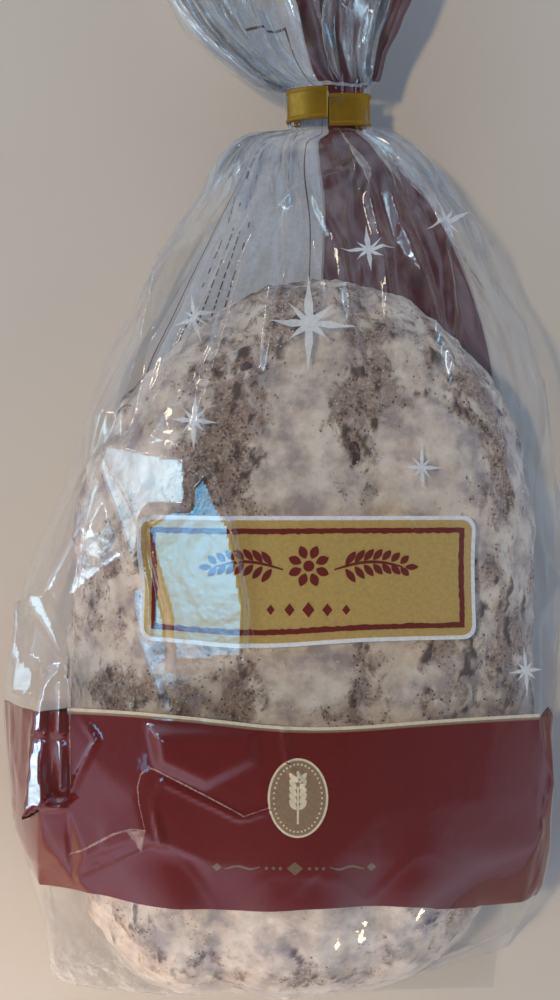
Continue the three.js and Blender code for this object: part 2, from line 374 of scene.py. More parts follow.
def facets(places, values, u, y, edges=()):
    """Values at places on the sheet, carried over flat triangles between them to a grid's lines."""
    verts, _, faces, *_ = geometry.delaunay_2d_cdt([Vector(p) for p in places], list(edges), [], 0, 1e-6)
    source = {tuple(np.round(p, 3)): value for p, value in zip(places, values)}
    corners = np.array([v[:] for v in verts])
    levels = np.array([source[tuple(np.round(p, 3))] for p in corners])
    result = np.zeros((len(y), len(u), levels.shape[1]))
    for face in faces:
        corner, level = corners[list(face)], levels[list(face)]
        columns = slice(*np.searchsorted(u, [corner[:, 0].min() - 1e-6, corner[:, 0].max() + 1e-6]))
        rows = slice(*np.searchsorted(y, [corner[:, 1].min() - 1e-6, corner[:, 1].max() + 1e-6]))
        if columns.start == columns.stop or rows.start == rows.stop:
            continue
        (x1, y1), (x2, y2), (x3, y3) = corner
        area = (y2 - y3) * (x1 - x3) + (x3 - x2) * (y1 - y3)
        if abs(area) < 1e-9:
            continue
        px, py = np.meshgrid(u[columns], y[rows])
        a = ((y2 - y3) * (px - x3) + (x3 - x2) * (py - y3)) / area
        b = ((y3 - y1) * (px - x3) + (x1 - x3) * (py - y3)) / area
        inside = (a >= -1e-6) & (b >= -1e-6) & (a + b <= 1 + 1e-6)
        value = a[..., None] * level[0] + b[..., None] * level[1] + (1 - a - b)[..., None] * level[2]
        result[rows, columns] = np.where(inside[..., None], value, result[rows, columns])
    return result


# Lines of corners of the film's large flat facets: place round the girth, how far a corner may
# stray from it, and how far apart the corners are along the bag. Folds don't stray.
FACET_LINES = [
    (-65, 0, 15), (-46, 6, 24), (-23, 8, 27), (1, 8, 30), (24, 8, 27), (46, 6, 24), (65, 0, 15),
    (82, 5, 16), (100, 0, 14), (118, 5, 18), (135, 0, 30), (168, 8, 34), (200, 8, 34),
    (232, 8, 34), (265, 0, 30), (282, 5, 18), (300, 0, 13), (318, 5, 15),
]

RIDGES = [  # folds that stand up between the flat facets: corners as (u, y, height)
    [
        (-63.5, -60, 1), (-59.5, -53, 1.6), (-43, -47, 2.3), (-46, -38, 1.9), (-41, -30.8, 2),
        (-26, -34, 1), (-10, -37.5, 0.6),
    ],
    [(-63.5, -20, 0.5), (-55, -30, 1.3), (-46, -38, 1.9)],
    [(-33, -23, 1.2), (-12, -27, 0.6)],
]


def faceted(points, normals, u_lines, y_lines):
    """The film's points moved into large flat facets between scattered corners."""
    draw = random.Random(4)
    lines = []
    for place, stray, pitch in FACET_LINES:
        y, line = CORNER_ROW, [(place, FOOT, 0)]
        while y < NECK_FROM:
            line.append((place + draw.uniform(-stray, stray) * (y > CORNER_ROW), y, stray))
            y += pitch * draw.uniform(0.6, 1.4)
        lines.append([*line, (place, NECK_FROM, stray)])
    lines.append([(u + GIRTH, y, stray) for u, y, stray in lines[0]])
    places, values, edges, known = [], [], [], {}

    def corner(u, y, height=None, stray=0):
        """The number of the corner at the grid's nearest place."""
        column = int(np.abs(u_lines - (u if u < u_lines[-1] + 1 else u - GIRTH)).argmin())
        row = int(np.abs(y_lines - y).argmin())
        place = (round(u_lines[column] + (GIRTH if u > u_lines[-1] + 1 else 0), 3), round(y_lines[row], 3))
        if place not in known:
            if height is None:
                own_draw = random.Random(column * 1000 + row)
                height = float(crumple_height(np.array(u_lines[column]), np.array(y_lines[row])))
                height *= own_draw.uniform(-0.5, 1.5) if stray else own_draw.uniform(-0.2, 0.5)
            known[place] = len(places)
            places.append(place)
            values.append(points[row, column] + normals[row, column] * height)
        return known[place]

    for route in RIDGES:
        numbers = [corner(u, y, height) for u, y, height in route]
        edges += zip(numbers, numbers[1:])
    for line in lines:
        numbers = [corner(u, y, None, stray) for u, y, stray in line]
        edges += [pair for pair in zip(numbers, numbers[1:]) if not line[-1][2] and pair[0] != pair[1]]
    return facets(places, values, u_lines, y_lines, edges)


# How much the film is crumpled, by place: (u, y, reach round the girth, reach along, height).
CRUMPLED = [
    (-46, 50, 22, 30, 1.5),
    (-55, -52, 20, 16, 1.6),
    (40, 95, 30, 30, 1.6),
    (-30, 100, 30, 26, 1.6),
    (0, 112, 60, 16, 1.3),
    (44, -82, 26, 12, 1.7),
    (-44, -84, 26, 12, 1.5),
    (56, 40, 14, 30, 0.8),
]


def crumple_height(u, y):
    """How far the creased facets stand up at a place on the sheet."""
    height = 0.12
    for place, station, reach, length, rise in CRUMPLED:
        height = height + rise * bell((u, place, reach), (y, station, length))
    signed = signed_place(u)
    on_gusset = smooth(FRONT_FOLD - 2, FRONT_FOLD + 4, np.abs(signed))
    on_back = smooth(BACK_FOLD - 4, BACK_FOLD, np.abs(signed))
    on_left_side = smooth(-EAR_FOLD, 3 - EAR_FOLD, signed) * (signed < -FRONT_FOLD)
    # the left gusset beside the loaf is left to the flat folds pressed into it
    calm = on_left_side * smooth(-66, -58, y) * (1 - smooth(16, 30, y))
    height = height + 1.7 * on_gusset * (1 - on_back) * (1 - 0.92 * calm)
    height = height * (1 - 0.85 * on_back * (1 - smooth(95, 115, y)))
    in_neck = smooth(122, 131, y) * (1 - smooth(NECK_TO, NECK_TO + 3, y))
    tail = smooth(NECK_TO, NECK_TO + 12, y)
    return lerp(height, 2.6, tail) * (1 - in_neck)


def crumples(u, y, pitch, stretch, seed, amount):
    """Creased facets about pitch wide and stretch times as long, over the whole sheet."""
    draw = random.Random(seed)
    points, heights = [], []
    columns, rows = int(GIRTH / pitch), int((TAIL_END - FOOT) / (pitch * stretch))
    for i in range(columns):
        for j in range(rows + 1):
            pu = -FRONT_FOLD + (i + draw.uniform(0.05, 0.95)) * GIRTH / columns
            py = FOOT + (j + draw.uniform(-0.45, 0.45)) * (TAIL_END - FOOT) / rows
            high = float(crumple_height(np.array(pu), np.array(py))) * amount * draw.uniform(-0.35, 1)
            for turn in (-GIRTH, 0, GIRTH):
                if -FRONT_FOLD - 30 < pu + turn < GIRTH - FRONT_FOLD + 30:
                    points.append((round(pu + turn, 3), round(py, 3)))
                    heights.append(high)
    return facets(points, np.array(heights)[:, None], u, y)[..., 0]


# Single creases: a height, a half width and the points that the fold runs through (u, y).
CREASES = [
    (0.9, 1.0, [(-40, -38), (-38, -33.5), (-17, -42.5), (-10, -40.5), (-6, -38.5)]),
    (1.1, 1.0, [(-66, -60), (-56, -55.5), (-42, -49), (-38, -49.5), (-40.5, -38)]),
    (0.9, 1.0, [(-65, -40), (-56, -24), (-61, -19)]),
    (0.3, 2.6, [(-25, 47), (-20, 34), (-15.5, 14), (-14, -2)]),
    (0.45, 1.0, [(28.5, 42), (28.5, 34), (29.5, 24)]),
    (0.4, 0.9, [(47, 52), (44.5, 46), (44, 40)]),
    (0.7, 1.2, [(-62, 53), (-50, 34), (-43, 14), (-42, 2)]),
    (0.7, 1.2, [(-62, 53), (-44, 49.5), (-28, 46.5)]),
    (2.4, 3.2, [(64, 30), (50, 62), (36, 96), (20, 130)]),
    (2.6, 3.2, [(-62, 30), (-54, 60), (-44, 92), (-24, 130)]),
    (1.9, 2.4, [(-20, 62), (-17, 92), (-8, 128)]),
    (1.9, 2.4, [(26, 66), (22, 100), (10, 130)]),
    (1.6, 1.9, [(44, 60), (52, 90), (50, 126)]),
    (1.6, 1.9, [(-36, 66), (-34, 96), (-30, 126)]),
    (2.2, 2.2, [(15, 124), (-25, 107.7), (-35, 86), (-37.6, 61)]),
    (2.0, 2.0, [(48, 124), (50, 114), (55, 101), (74, 84)]),
    (2.0, 2.4, [(-90, 120), (-82, 96), (-70, 72), (-60, 48)]),
    (1.8, 2.0, [(-8, 118), (4, 100), (10, 76)]),
    (0.7, 0.9, [(-6, -17), (-4, -30), (2, -36)]),
    (0.9, 2.0, [(52, -66), (44, -78), (40, -90)]),
    (0.8, 1.8, [(22, -68), (30, -80), (28, -92)]),
    (0.8, 1.8, [(34, -70), (38, -82), (46, -90)]),
    (1.0, 2.2, [(-60, -66), (-44, -74), (-30, -88), (-24, -93)]),
    (0.6, 1.6, [(-12, -68), (10, -78), (20, -84)]),
]
THREADS = {"shoulder": 84, "gusset": 46, "tail": 60}  # fine drawn creases along the bag


def thread_routes():
    """Fine creases drawn along the bag: round its shoulder, down its gussets and through its tail."""
    draw = random.Random(17)
    stretches = {"shoulder": (44, 118, -98, 98), "gusset": (-70, 60, 0, 0), "tail": (147, 185, -200, 200)}
    for kind, count in THREADS.items():
        low, high, left, right = stretches[kind]
        for _ in range(count):
            u, y = draw.uniform(left, right), draw.uniform(low, high)
            if kind == "gusset":
                u = draw.choice((-1, 1)) * draw.uniform(FRONT_FOLD + 2, BACK_FOLD - 8)
            length, lean = draw.uniform(9, 38), draw.uniform(-0.28, 0.28)
            bow = draw.uniform(-2.5, 2.5)
            end = min(y + length, 128) if kind == "shoulder" else y + length
            middle = (u + lean * length / 2 + bow, (y + end) / 2)
            yield draw.uniform(0.2, 0.6), draw.uniform(0.7, 1.3), [(u, y), middle, (u + lean * length, end)]


# Folds pressed flat: the panel, an outline as seen from above, a point of the plane, its two slopes,
# how it bows across, and the width of its edge.
FLAT_FOLDS = [
    (
        "front",
        [(-56, 53), (-41, 13), (-38, 32), (-27, 33), (-27.5, 47)],
        (-32, 41, 60.3), 0.5, -0.22, 0.0025, 1.3,
    ),
    (
        "front",
        [(-40.4, 29.5), (-34, 6.9), (-33, -6), (-14, -4), (-13.5, 10), (-17, 30), (-24, 44), (-33, 34)],
        (-29, 15, 60.6), 0.26, 0.0, 0, 0.9,
    ),
    (
        "side",
        [
            (-69.4, 13.2), (-65.2, 12.2), (-61.9, 6), (-59, -1.8), (-59.3, -5), (-61.9, -2), (-65.7, 2.8),
            (-70.9, 9.9),
        ],
        (-66, 3, 50.6), 0.45, -0.3, 0, 0.4,
    ),
    (
        "side",
        [
            (-74.2, 10), (-71.8, 9), (-71.2, 0), (-70.2, -3.8), (-66.8, -6.6), (-67, -12), (-69, -14.6),
            (-74.4, -14),
        ],
        (-72, -4, 46.4), 0.44, -0.28, 0, 0.4,
    ),
    (
        "side",
        [
            (-67.6, -15.4), (-65.9, -9.4), (-62.8, -6.9), (-60, -6.2), (-60.6, -8.7), (-63.1, -10.8),
            (-64.5, -16.4), (-65.3, -24), (-69.2, -24),
        ],
        (-64, -15, 50.2), 0.46, -0.15, 0, 0.3,
    ),
    (
        "side",
        [
            (-69.4, -24.5), (-65.3, -24.5), (-65, -38.2), (-63.6, -40), (-59.3, -40.4), (-59.5, -42),
            (-67, -42.4), (-71.5, -46), (-70.4, -38),
        ],
        (-64, -33, 50), 0.46, -0.15, 0, 0.3,
    ),
    (
        "side",
        [(-62.9, -11), (-62.7, -24), (-59.6, -24), (-59.8, -8.7)],
        (-61, -15, 50.9), 0.46, -0.15, 0, 0.3,
    ),
    (
        "side",
        [(-62.7, -24.5), (-61.8, -37.8), (-59.4, -37.8), (-59.4, -24.5)],
        (-61, -33, 50.7), 0.46, -0.15, 0, 0.3,
    ),
    (
        "front",
        [(-39, -19.5), (-10, -19.5), (-11, -29), (-24, -36), (-37, -30.5)],
        (-25, -26, 61.4), 0.1, 0.02, 0, 3.0,
    ),
]


def inside_edge(outline, x, y, soft):
    """1 inside an outline, falling to 0 over a soft edge on its inner side."""
    inside = inside_loops([np.array(outline, float)], np.stack([x.ravel(), y.ravel()], -1)).reshape(x.shape)
    away = np.full(x.shape, 1e9)
    for a, b in zip(outline, outline[1:] + outline[:1]):
        _, across, up = from_stretch(a, b, x, y)
        away = np.minimum(away, np.hypot(across, up))
    return inside * np.clip(away / soft, 0, 1)


def girth_scale(y):
    """How much narrower the section at y is than the sheet laid flat."""
    body = along(PANELS, "front", y) / FRONT_FOLD
    tail = (along(GATHERED, "left", y) + along(GATHERED, "right", y)) * 2.4 / GIRTH
    return np.where(y > NECK_FROM, tail, body)


def add_crease(rise, u, y, height, half_width, route):
    """Adds to the sheet's rise a fold that stands up along its route and fades out at its ends."""
    near = 12 + half_width / girth_scale(np.array(route[-1][1]))
    across, up = [p[0] for p in route], [p[1] for p in route]
    window = np.ix_(
        (y[:, 0] > min(up) - near) & (y[:, 0] < max(up) + near),
        (u[0] > min(across) - near) & (u[0] < max(across) + near),
    )
    pu, py = u[window], y[window]
    if not pu.size:
        return
    scale = girth_scale(py)
    off, place, run = np.full(pu.shape, 1e9), np.zeros(pu.shape), 0.0
    for a, b in zip(route, route[1:]):
        t, leftwards, upwards = from_stretch(a, b, pu, py)
        away = np.hypot(leftwards * scale, upwards)
        nearer = away < off
        length = math.dist(a, b)
        off, place = np.where(nearer, away, off), np.where(nearer, run + t * length, place)
        run += length
    taper = np.clip(np.sin(math.pi * np.clip(place / run, 0.03, 0.97)) * 1.8, 0, 1)
    rise[window] += height * taper * np.clip(1 - off / half_width, 0, 1) ** 1.2


def grid_normals(points):
    """Outward normals of a ring grid."""
    around = np.roll(points, -1, axis=1) - np.roll(points, 1, axis=1)
    up = np.gradient(points, axis=0)
    normal = np.cross(around, up)
    return normal / np.maximum(np.linalg.norm(normal, axis=-1, keepdims=True), 1e-9)


def relief(u_lines, y_lines):
    """How far crumples and creases lift the film, at each crossing of the sheet's lines."""
    u, y = np.meshgrid(u_lines, y_lines)
    rise = crumples(u_lines, y_lines, pitch=21, stretch=1.8, seed=3, amount=1.5) * smooth(96, 150, y)
    rise += crumples(u_lines, y_lines, pitch=10, stretch=2.2, seed=5, amount=0.42)
    fine = crumples(u_lines, y_lines, pitch=4.6, stretch=2.0, seed=8, amount=0.16)
    rise += fine * smooth(0.7, 1.7, crumple_height(u, y))
    signed = signed_place(u)
    order = np.argsort(signed[0])
    creases = np.zeros_like(rise)
    for height, half_width, route in [*CREASES, *thread_routes()]:
        add_crease(creases, signed[:, order], y, height, half_width, route)
    rise[:, order] += creases
    return rise * smooth(FOOT, FOOT + 4, y)


def at_rest(points, signed):
    """The film's points kept off the loaf and the table, with the flat folds pressed in. signed: each
    point's place round the girth, negative on the left."""
    x, y, z = points[..., 0], points[..., 1], points[..., 2]
    on_front = np.abs(signed) <= FRONT_FOLD
    on_side = (np.abs(signed) >= FRONT_FOLD) & (np.abs(signed) < EAR_FOLD)
    rest = np.where(on_front, loaf_top(x, y) + LOAF_CLEARANCE, TABLE_CLEARANCE)
    over = z - rest
    lifted = rest + np.maximum(over, 0) + REST_SOFTNESS * np.exp(-np.abs(over) / REST_SOFTNESS) * on_front
    z = np.where(y < RESTS_TO, np.where(on_front, lifted, np.maximum(z, rest)), z)
    panels = {"front": on_front, "side": on_side}
    for panel, outline, (px, py, pz), slope_x, slope_y, bow, soft in FLAT_FOLDS:
        plane = pz + slope_x * (x - px) + slope_y * (y - py) + bow * (x - px) ** 2
        pressed = lerp(z, np.maximum(z, plane), inside_edge(outline, x, y, soft))
        z = np.where(panels[panel], pressed, z)
    return np.stack([x, y, z], -1)


@functools.cache
def film():
    """The film as a grid of points in millimetres, and its outward normals."""
    u_lines, y_lines = sheet_lines()
    u, y = np.meshgrid(u_lines, y_lines)
    px, pz = panelled(u, y)
    gx, gz, cosine = gathered(u, y, pleat_depth(u, y))
    gather = along(GATHERED, "gather", y)
    fanned = np.clip((y - NECK_TO) / (TAIL_END - NECK_TO), 0, None)
    hung = y - FAN_ARC * fanned * cosine**2
    points = np.stack([lerp(px, gx, gather), hung, lerp(pz, gz, gather)], -1)
    creasing = bpy.context.scene.bag_settings.creasing
    flat = smooth(FOOT + 1, CORNER_ROW, y) * (1 - smooth(98, 124, y))
    flat = flat * smooth(0.05, 0.9, crumple_height(u, y) + 0.3) * min(creasing, 1)
    points = lerp(points, faceted(points, grid_normals(points), u_lines, y_lines), flat[..., None])
    points = points + grid_normals(points) * (relief(u_lines, y_lines) * creasing)[..., None]
    points = at_rest(points, signed_place(u))
    return points, grid_normals(points)


def on_film(u, y, depth):
    """Points on the film at places on the sheet, moved inwards by depth."""
    points, normals = film()
    u_lines, y_lines = sheet_lines()
    u = np.asarray(u, float)
    u = np.where(u < u_lines[0], u + GIRTH, u)
    ring = np.append(u_lines, u_lines[0] + GIRTH)
    c = np.clip(np.searchsorted(ring, u, side="right") - 1, 0, len(u_lines) - 1)
    r = np.clip(np.searchsorted(y_lines, y, side="right") - 1, 0, len(y_lines) - 2)
    s = ((u - ring[c]) / (ring[c + 1] - ring[c]))[..., None]
    t = ((y - y_lines[r]) / (y_lines[r + 1] - y_lines[r]))[..., None]
    d = (c + 1) % len(u_lines)

    def between(grid):
        return lerp(lerp(grid[r, c], grid[r, d], s), lerp(grid[r + 1, c], grid[r + 1, d], s), t)

    normal = between(normals)
    normal = normal / np.maximum(np.linalg.norm(normal, axis=-1, keepdims=True), 1e-9)
    return between(points) - normal * depth


def front_place(x, y):
    """The place on the sheet of a point seen on the front panel."""
    return (x - along(PANELS, "front_x", y)) * FRONT_FOLD / along(PANELS, "front", y), y


# --- Flat shapes for the print, as closed loops in millimetres ----------------------------------
def loop(points):
    return np.array(points, float)


def disc(x, y, rx, ry=None, steps=28):
    angle = np.linspace(0, 2 * math.pi, steps, endpoint=False)
    return np.stack([x + rx * np.cos(angle), y + (ry or rx) * np.sin(angle)], -1)


def diamond(x, y, rx, ry):
    return loop([(x + rx, y), (x, y + ry), (x - rx, y), (x, y - ry)])


def box_loop(x0, y0, x1, y1, inset=0.0):
    """A box's corners, moved inwards by inset."""
    x0, y0, x1, y1 = x0 + inset, y0 + inset, x1 - inset, y1 - inset
    return loop([(x0, y0), (x1, y0), (x1, y1), (x0, y1)])


def rounded_box(x0, y0, x1, y1, radius, steps=7):
    """A box with round corners, from its upper right corner's arc anticlockwise."""
    quarter = math.pi / 2
    angles = np.linspace(0, quarter, steps)
    centres = np.roll(box_loop(x0, y0, x1, y1, radius), 2, axis=0)
    arcs = []
    for k, (cx, cy) in enumerate(centres):
        across, up = np.cos(angles + k * quarter), np.sin(angles + k * quarter)
        arcs.append(np.stack([cx + radius * across, cy + radius * up], -1))
    return np.concatenate(arcs)


def star(x, y, across, high, turn):
    """A brushed eight-pointed star: long upright and level rays, short ones between, hollow sides."""
    draw = random.Random(int(1000 * x + 10 * y))
    points = []
    core = 0.085 * (across + high) / 2
    for k in range(8):
        angle = k * math.pi / 4 + turn + draw.uniform(-0.07, 0.07)
        long = (across / 2, high / 2)[k % 4 == 2] if k % 2 == 0 else 0.3 * (across + high) / 2
        long *= draw.uniform(0.84, 1.12)
        half = core * (0.95 if k % 2 == 0 else 0.6)
        for share, width in ((0.3, 0.55), (0.6, 0.24), (1.0, 0.0), (0.6, -0.24), (0.3, -0.55)):
            points.append(turned(x, y, core + (long - core) * share, -width * half, angle))
        valley = angle + math.pi / 8
        points.append((x + core * 1.05 * math.cos(valley), y + core * 1.05 * math.sin(valley)))
    return loop(points)


def stroke(route, width, ends=1.0):
    """A ribbon along a route, narrowing to a share of its width at its ends."""
    route = loop(route)
    way = np.gradient(route, axis=0)
    way /= np.linalg.norm(way, axis=1, keepdims=True)
    side = np.stack([-way[:, 1], way[:, 0]], -1)
    t = np.linspace(-1, 1, len(route))[:, None]
    half = width / 2 * lerp(1, ends, t * t)
    return np.concatenate([route + side * half, (route - side * half)[::-1]])


def leaf(x, y, length, width, angle):
    t = np.linspace(0, 1, 9)
    bow = width / 2 * np.sin(math.pi * t) ** 0.8
    side = np.concatenate([np.stack([t * length, bow], -1), np.stack([t * length, -bow], -1)[::-1][1:-1]])
    return np.stack(turned(x, y, side[:, 0], side[:, 1], angle), -1)


def densified(points, step=1.0):
    """A loop with more points where its sides are longer than step."""
    result = []
    for a, b in zip(points, np.roll(points, -1, axis=0)):
        count = max(1, int(math.ceil(np.linalg.norm(b - a) / step)))
        result += [lerp(a, b, k / count) for k in range(count)]
    return np.array(result)


def fine_route(points):
    """An open route with more points along it, about 1.2 mm apart."""
    fine = []
    for a, b in zip(points, points[1:]):
        fine += [lerp(np.array(a), np.array(b), t) for t in np.arange(0, 1, 1.2 / math.dist(a, b))]
    return [*fine, points[-1]]


def inside_loops(loops, places):
    """Whether each place is inside an odd number of the loops."""
    odd = np.zeros(len(places), bool)
    px, py = places[:, 0], places[:, 1]
    for points in loops:
        for (ax, ay), (bx, by) in zip(points, np.roll(points, -1, axis=0)):
            if ay == by:
                continue
            crosses = ((ay > py) != (by > py)) & (px < (bx - ax) * (py - ay) / (by - ay) + ax)
            odd ^= crosses
    return odd


def ink_mesh(loops, depth, as_seen):
    """Points and faces of a thin field inside the film, bounded by loops."""
    loops = [densified(points) for points in loops]
    if as_seen:
        loops = [np.stack(front_place(points[:, 0], points[:, 1]), -1) for points in loops]
    every = np.concatenate(loops)
    low, high = every.min(0), every.max(0)
    u_lines, y_lines = sheet_lines()
    u_lines = np.concatenate([u_lines - GIRTH, u_lines])
    u_in = u_lines[(u_lines > low[0]) & (u_lines < high[0])]
    y_in = y_lines[(y_lines > low[1]) & (y_lines < high[1])]
    inner = np.array([(u, y) for u in u_in for y in y_in]).reshape(-1, 2)
    inner = inner[inside_loops(loops, inner)] if len(inner) else inner
    edges, start = [], 0
    for points in loops:
        count = len(points)
        edges += [(start + k, start + (k + 1) % count) for k in range(count)]
        start += count
    places = [Vector(p) for p in np.concatenate([every, inner])]
    verts, _, faces, *_ = geometry.delaunay_2d_cdt(places, edges, [], 0, 1e-5)
    flat = np.array([v[:] for v in verts])
    triangles = np.array([f[:3] for f in faces])
    kept = triangles[inside_loops(loops, flat[triangles].mean(1))]
    used, index = np.unique(kept, return_inverse=True)
    flat = flat[used]
    return on_film(flat[:, 0], flat[:, 1], depth), index.reshape(-1, 3)


def ink(name, loops, depth, material, slot, as_seen=True):
    """A field of ink inside the film, bounded by loops. as_seen: they are given as seen from above."""
    return new_piece(name, *ink_mesh(loops, depth, as_seen), material, slot)


def ink_each(name, loops, depth, material, slot):
    """Like ink, for shapes that may overlap: each is filled by itself and they are joined."""
    return joined_piece(name, [ink_mesh([points], depth, True) for points in loops], material, slot)


# --- Materials ----------------------------------------------------------------------------------
def film_material():
    """Biaxially stretched polypropylene film: clear and glossy, a little milky where it is steep,
    with fine slack wrinkles that break its highlights into threads."""
    settings = bpy.context.scene.bag_settings
    material, tree, place = new_material("clear_polypropylene_film")
    wrinkle = add(tree, "TexNoise", blotches(place, 4.0, 2.0, 0.5))
    bump = add(tree, "Bump", {"Height": wrinkle, "Strength": 0.07, "Distance": 0.0012})
    slant = add(tree, "LayerWeight", {"Blend": 0.5, "Normal": bump}).outputs["Facing"]
    steep = add(tree, "Math", {0: slant, 1: 5.5}, operation="POWER")
    mirror = add(tree, "Math", {0: steep, 1: 0.8, 2: 0.065}, operation="MULTIPLY_ADD")
    clear = add(tree, "BsdfTransparent", {"Color": (*linear("fbfcfd"), 1)})
    haze = add(tree, "BsdfDiffuse", {"Color": (*settings.haze_colour, 1), "Roughness": 0.6})
    gloss = add(tree, "BsdfGlossy", {"Color": (1, 1, 1, 1), "Roughness": 0.05, "Normal": bump})
    milk = [(0.0, settings.haze), (0.62, settings.haze * 6), (0.92, settings.haze_at_edge)]
    edge_milk = add(tree, "ValToRGB", {"Fac": slant}, milk)
    slack = add(tree, "Attribute", attribute_name="slack").outputs["Fac"]
    drawn = add(tree, "Mapping", {"Vector": place, "Scale": (1.0, 0.35, 1.0)})
    streaks = patchy(tree, [(0.4, 0.2), (0.52, 0.7), (0.64, 1.5)], drawn, 4.0, 5.0, 0.62)
    milky = add(tree, "Math", {0: slack, 1: streaks, 2: edge_milk}, operation="MULTIPLY_ADD")
    body = add(tree, "MixShader", {0: milky, 1: clear, 2: haze})
    shader = add(tree, "MixShader", {0: mirror, 1: body, 2: gloss})
    add(tree, "OutputMaterial", {"Surface": shader})
    return material


def whitened_fold_highlight_material():
    """Film along a sharp fold, drawn paler and satin: partly the whitening that stretched polymer gets
    there, partly a painted highlight that stands in for the glints along the fold."""
    material, tree, place = new_material("stress_whitened_film_painted_highlight")
    clear = add(tree, "BsdfTransparent")
    # pale warm satin: the fold's whitening together with a painted highlight of its glints
    satin = {"Base Color": (*linear("e2c5bb"), 1), "Roughness": 0.3, "Specular IOR Level": 0.5}
    white = add(tree, "BsdfPrincipled", satin)
    cover = patchy(tree, [(0.3, 0.16), (0.7, 0.5)], place, 2.0)
    shader = add(tree, "MixShader", {0: cover, 1: clear, 2: white})
    add(tree, "OutputMaterial", {"Surface": shader})
    return material


def ink_material(name, colour, roughness=0.42, metallic=0.0, cover=1.0):
    """Gravure ink on the inside of the film: an even field with a faint cell grain. Real cells are
    about 0.15 mm wide, too fine to show, so the grain is drawn 0.9 mm wide."""
    material, tree, place = new_material(name)
    dark, light = [tuple(c * k for c in colour) for k in (0.9, 1.08)]
    tone = patchy(tree, [(0.3, dark), (0.7, light)], place, 0.9, 2.0)
    surface = {"Base Color": tone, "Roughness": roughness, "Metallic": metallic, "Specular IOR Level": 0.05}
    shader = add(tree, "BsdfPrincipled", surface)
    if cover < 1:
        clear = add(tree, "BsdfTransparent")
        thin = patchy(tree, [(0.3, cover - 0.1), (0.7, min(1.0, cover + 0.06))], place, 3.0)
        shader = add(tree, "MixShader", {0: thin, 1: clear, 2: shader})
    add(tree, "OutputMaterial", {"Surface": shader})
    return material


def crust_material():
    """Baked yeast dough, buttered and dusted: brown crust under powdered sugar that has caked to
    cream-white fields, worn through in blotches, and salt-and-pepper where only loose sugar is left.
    The powder's own grain is too fine to show, so it is drawn about 0.6 mm wide."""
    settings = bpy.context.scene.loaf_settings
    material, tree, place = new_material("sugared_crust")
    drawn = add(tree, "Mapping", {"Vector": place, "Scale": (1.0, 0.72, 1.0)})
    bare = add(tree, "Attribute", attribute_name="bare").outputs["Fac"]
    pit = add(tree, "Attribute", attribute_name="pit").outputs["Fac"]
    blotch = add(tree, "TexNoise", {**blotches(drawn, 5.2, 6.0, 0.66), "Distortion": 0.7})
    worn = add(tree, "Math", {0: bare, 1: 0.55, 2: blotch}, operation="MULTIPLY_ADD")
    field = add(tree, "ValToRGB", {"Fac": worn}, [(0.59, 0.0), (0.65, 0.3), (0.7, 0.7), (0.82, 0.94)])
    salt = patchy(tree, [(0.5, 0.0), (0.64, 0.5)], place, 0.95, 2.0, 0.6)
    dusted = add(tree, "Math", {0: 1.0, 1: salt}, operation="SUBTRACT")
    cover = add(tree, "Math", {0: field, 1: dusted}, operation="MULTIPLY")
    sugar_tones = [(0.36, linear("afa29e")), (0.5, tuple(settings.sugar_colour)), (0.62, linear("ecdfd0"))]
    sugar_tone = patchy(tree, sugar_tones, place, 8.0, 5.0, 0.6)
    crust_tones = [
        (0.34, linear("50382a")), (0.45, tuple(settings.crust_colour)),
        (0.56, linear("a28b7c")), (0.68, linear("8c5f43")),
    ]
    crust_tone = patchy(tree, crust_tones, place, 2.6, 4.0, 0.65)
    tone = add(tree, "Mix", {"Factor": cover, "A": sugar_tone, "B": crust_tone}, data_type="RGBA")
    dots = add(tree, "TexVoronoi", {"Vector": place, "Scale": 1 / (1.5 * MM), "Randomness": 1.0})
    spot = add(tree, "ValToRGB", {"Fac": dots}, [(0.16, 1.0), (0.26, 0.0)])
    near = add(tree, "ValToRGB", {"Fac": worn}, [(0.53, 0.0), (0.64, 0.8)])
    peppered = add(tree, "Math", {0: spot, 1: near}, operation="MULTIPLY")
    dark = add(tree, "Math", {0: peppered, 1: pit}, operation="MAXIMUM")
    speckles = {"Factor": dark, "A": tone.outputs["Result"], "B": (*linear("4a362f"), 1)}
    speckled = add(tree, "Mix", speckles, data_type="RGBA")
    powder = add(tree, "TexNoise", blotches(place, 0.6, 2.0, 0.6))
    height = add(tree, "Math", {0: powder, 1: 0.45, 2: cover}, operation="MULTIPLY_ADD")
    bump = add(tree, "Bump", {"Height": height, "Strength": 0.5, "Distance": 0.0005}, invert=True)
    surface = {
        "Base Color": speckled.outputs["Result"],
        "Roughness": add(tree, "ValToRGB", {"Fac": cover}, [(0.0, 0.95), (1.0, 0.66)]),
        "Specular IOR Level": 0.22,
        "Normal": bump,
    }
    shader = add(tree, "BsdfPrincipled", surface)
    add(tree, "OutputMaterial", {"Surface": shader})
    return material


def raisin_material():
    """Dried grape skin: near-black brown, wrinkled, with a dusty bloom."""
    material, tree, place = new_material("dried_grape_skin")
    bloom = [(0.35, linear("38231c")), (0.58, linear("5b4034")), (0.7, linear("8b7b72"))]
    tone = patchy(tree, bloom, place, 1.6)
    wrinkles = add(tree, "TexNoise", blotches(place, 1.0, 2.0))
    bump = add(tree, "Bump", {"Height": wrinkles, "Strength": 0.6, "Distance": 0.0005})
    shader = add(tree, "BsdfPrincipled", {"Base Color": tone, "Roughness": 0.55, "Normal": bump})
    add(tree, "OutputMaterial", {"Surface": shader})
    return material


def grain_material():
    """Caked icing sugar: loose matt white grains with a faint cream cast."""
    material, tree, place = new_material("caked_icing_sugar")
    tone = patchy(tree, [(0.3, linear("cfc6bd")), (0.7, linear("efe8df"))], place, 2.0)
    shader = add(tree, "BsdfPrincipled", {"Base Color": tone, "Roughness": 0.9})
    add(tree, "OutputMaterial", {"Surface": shader})
    return material


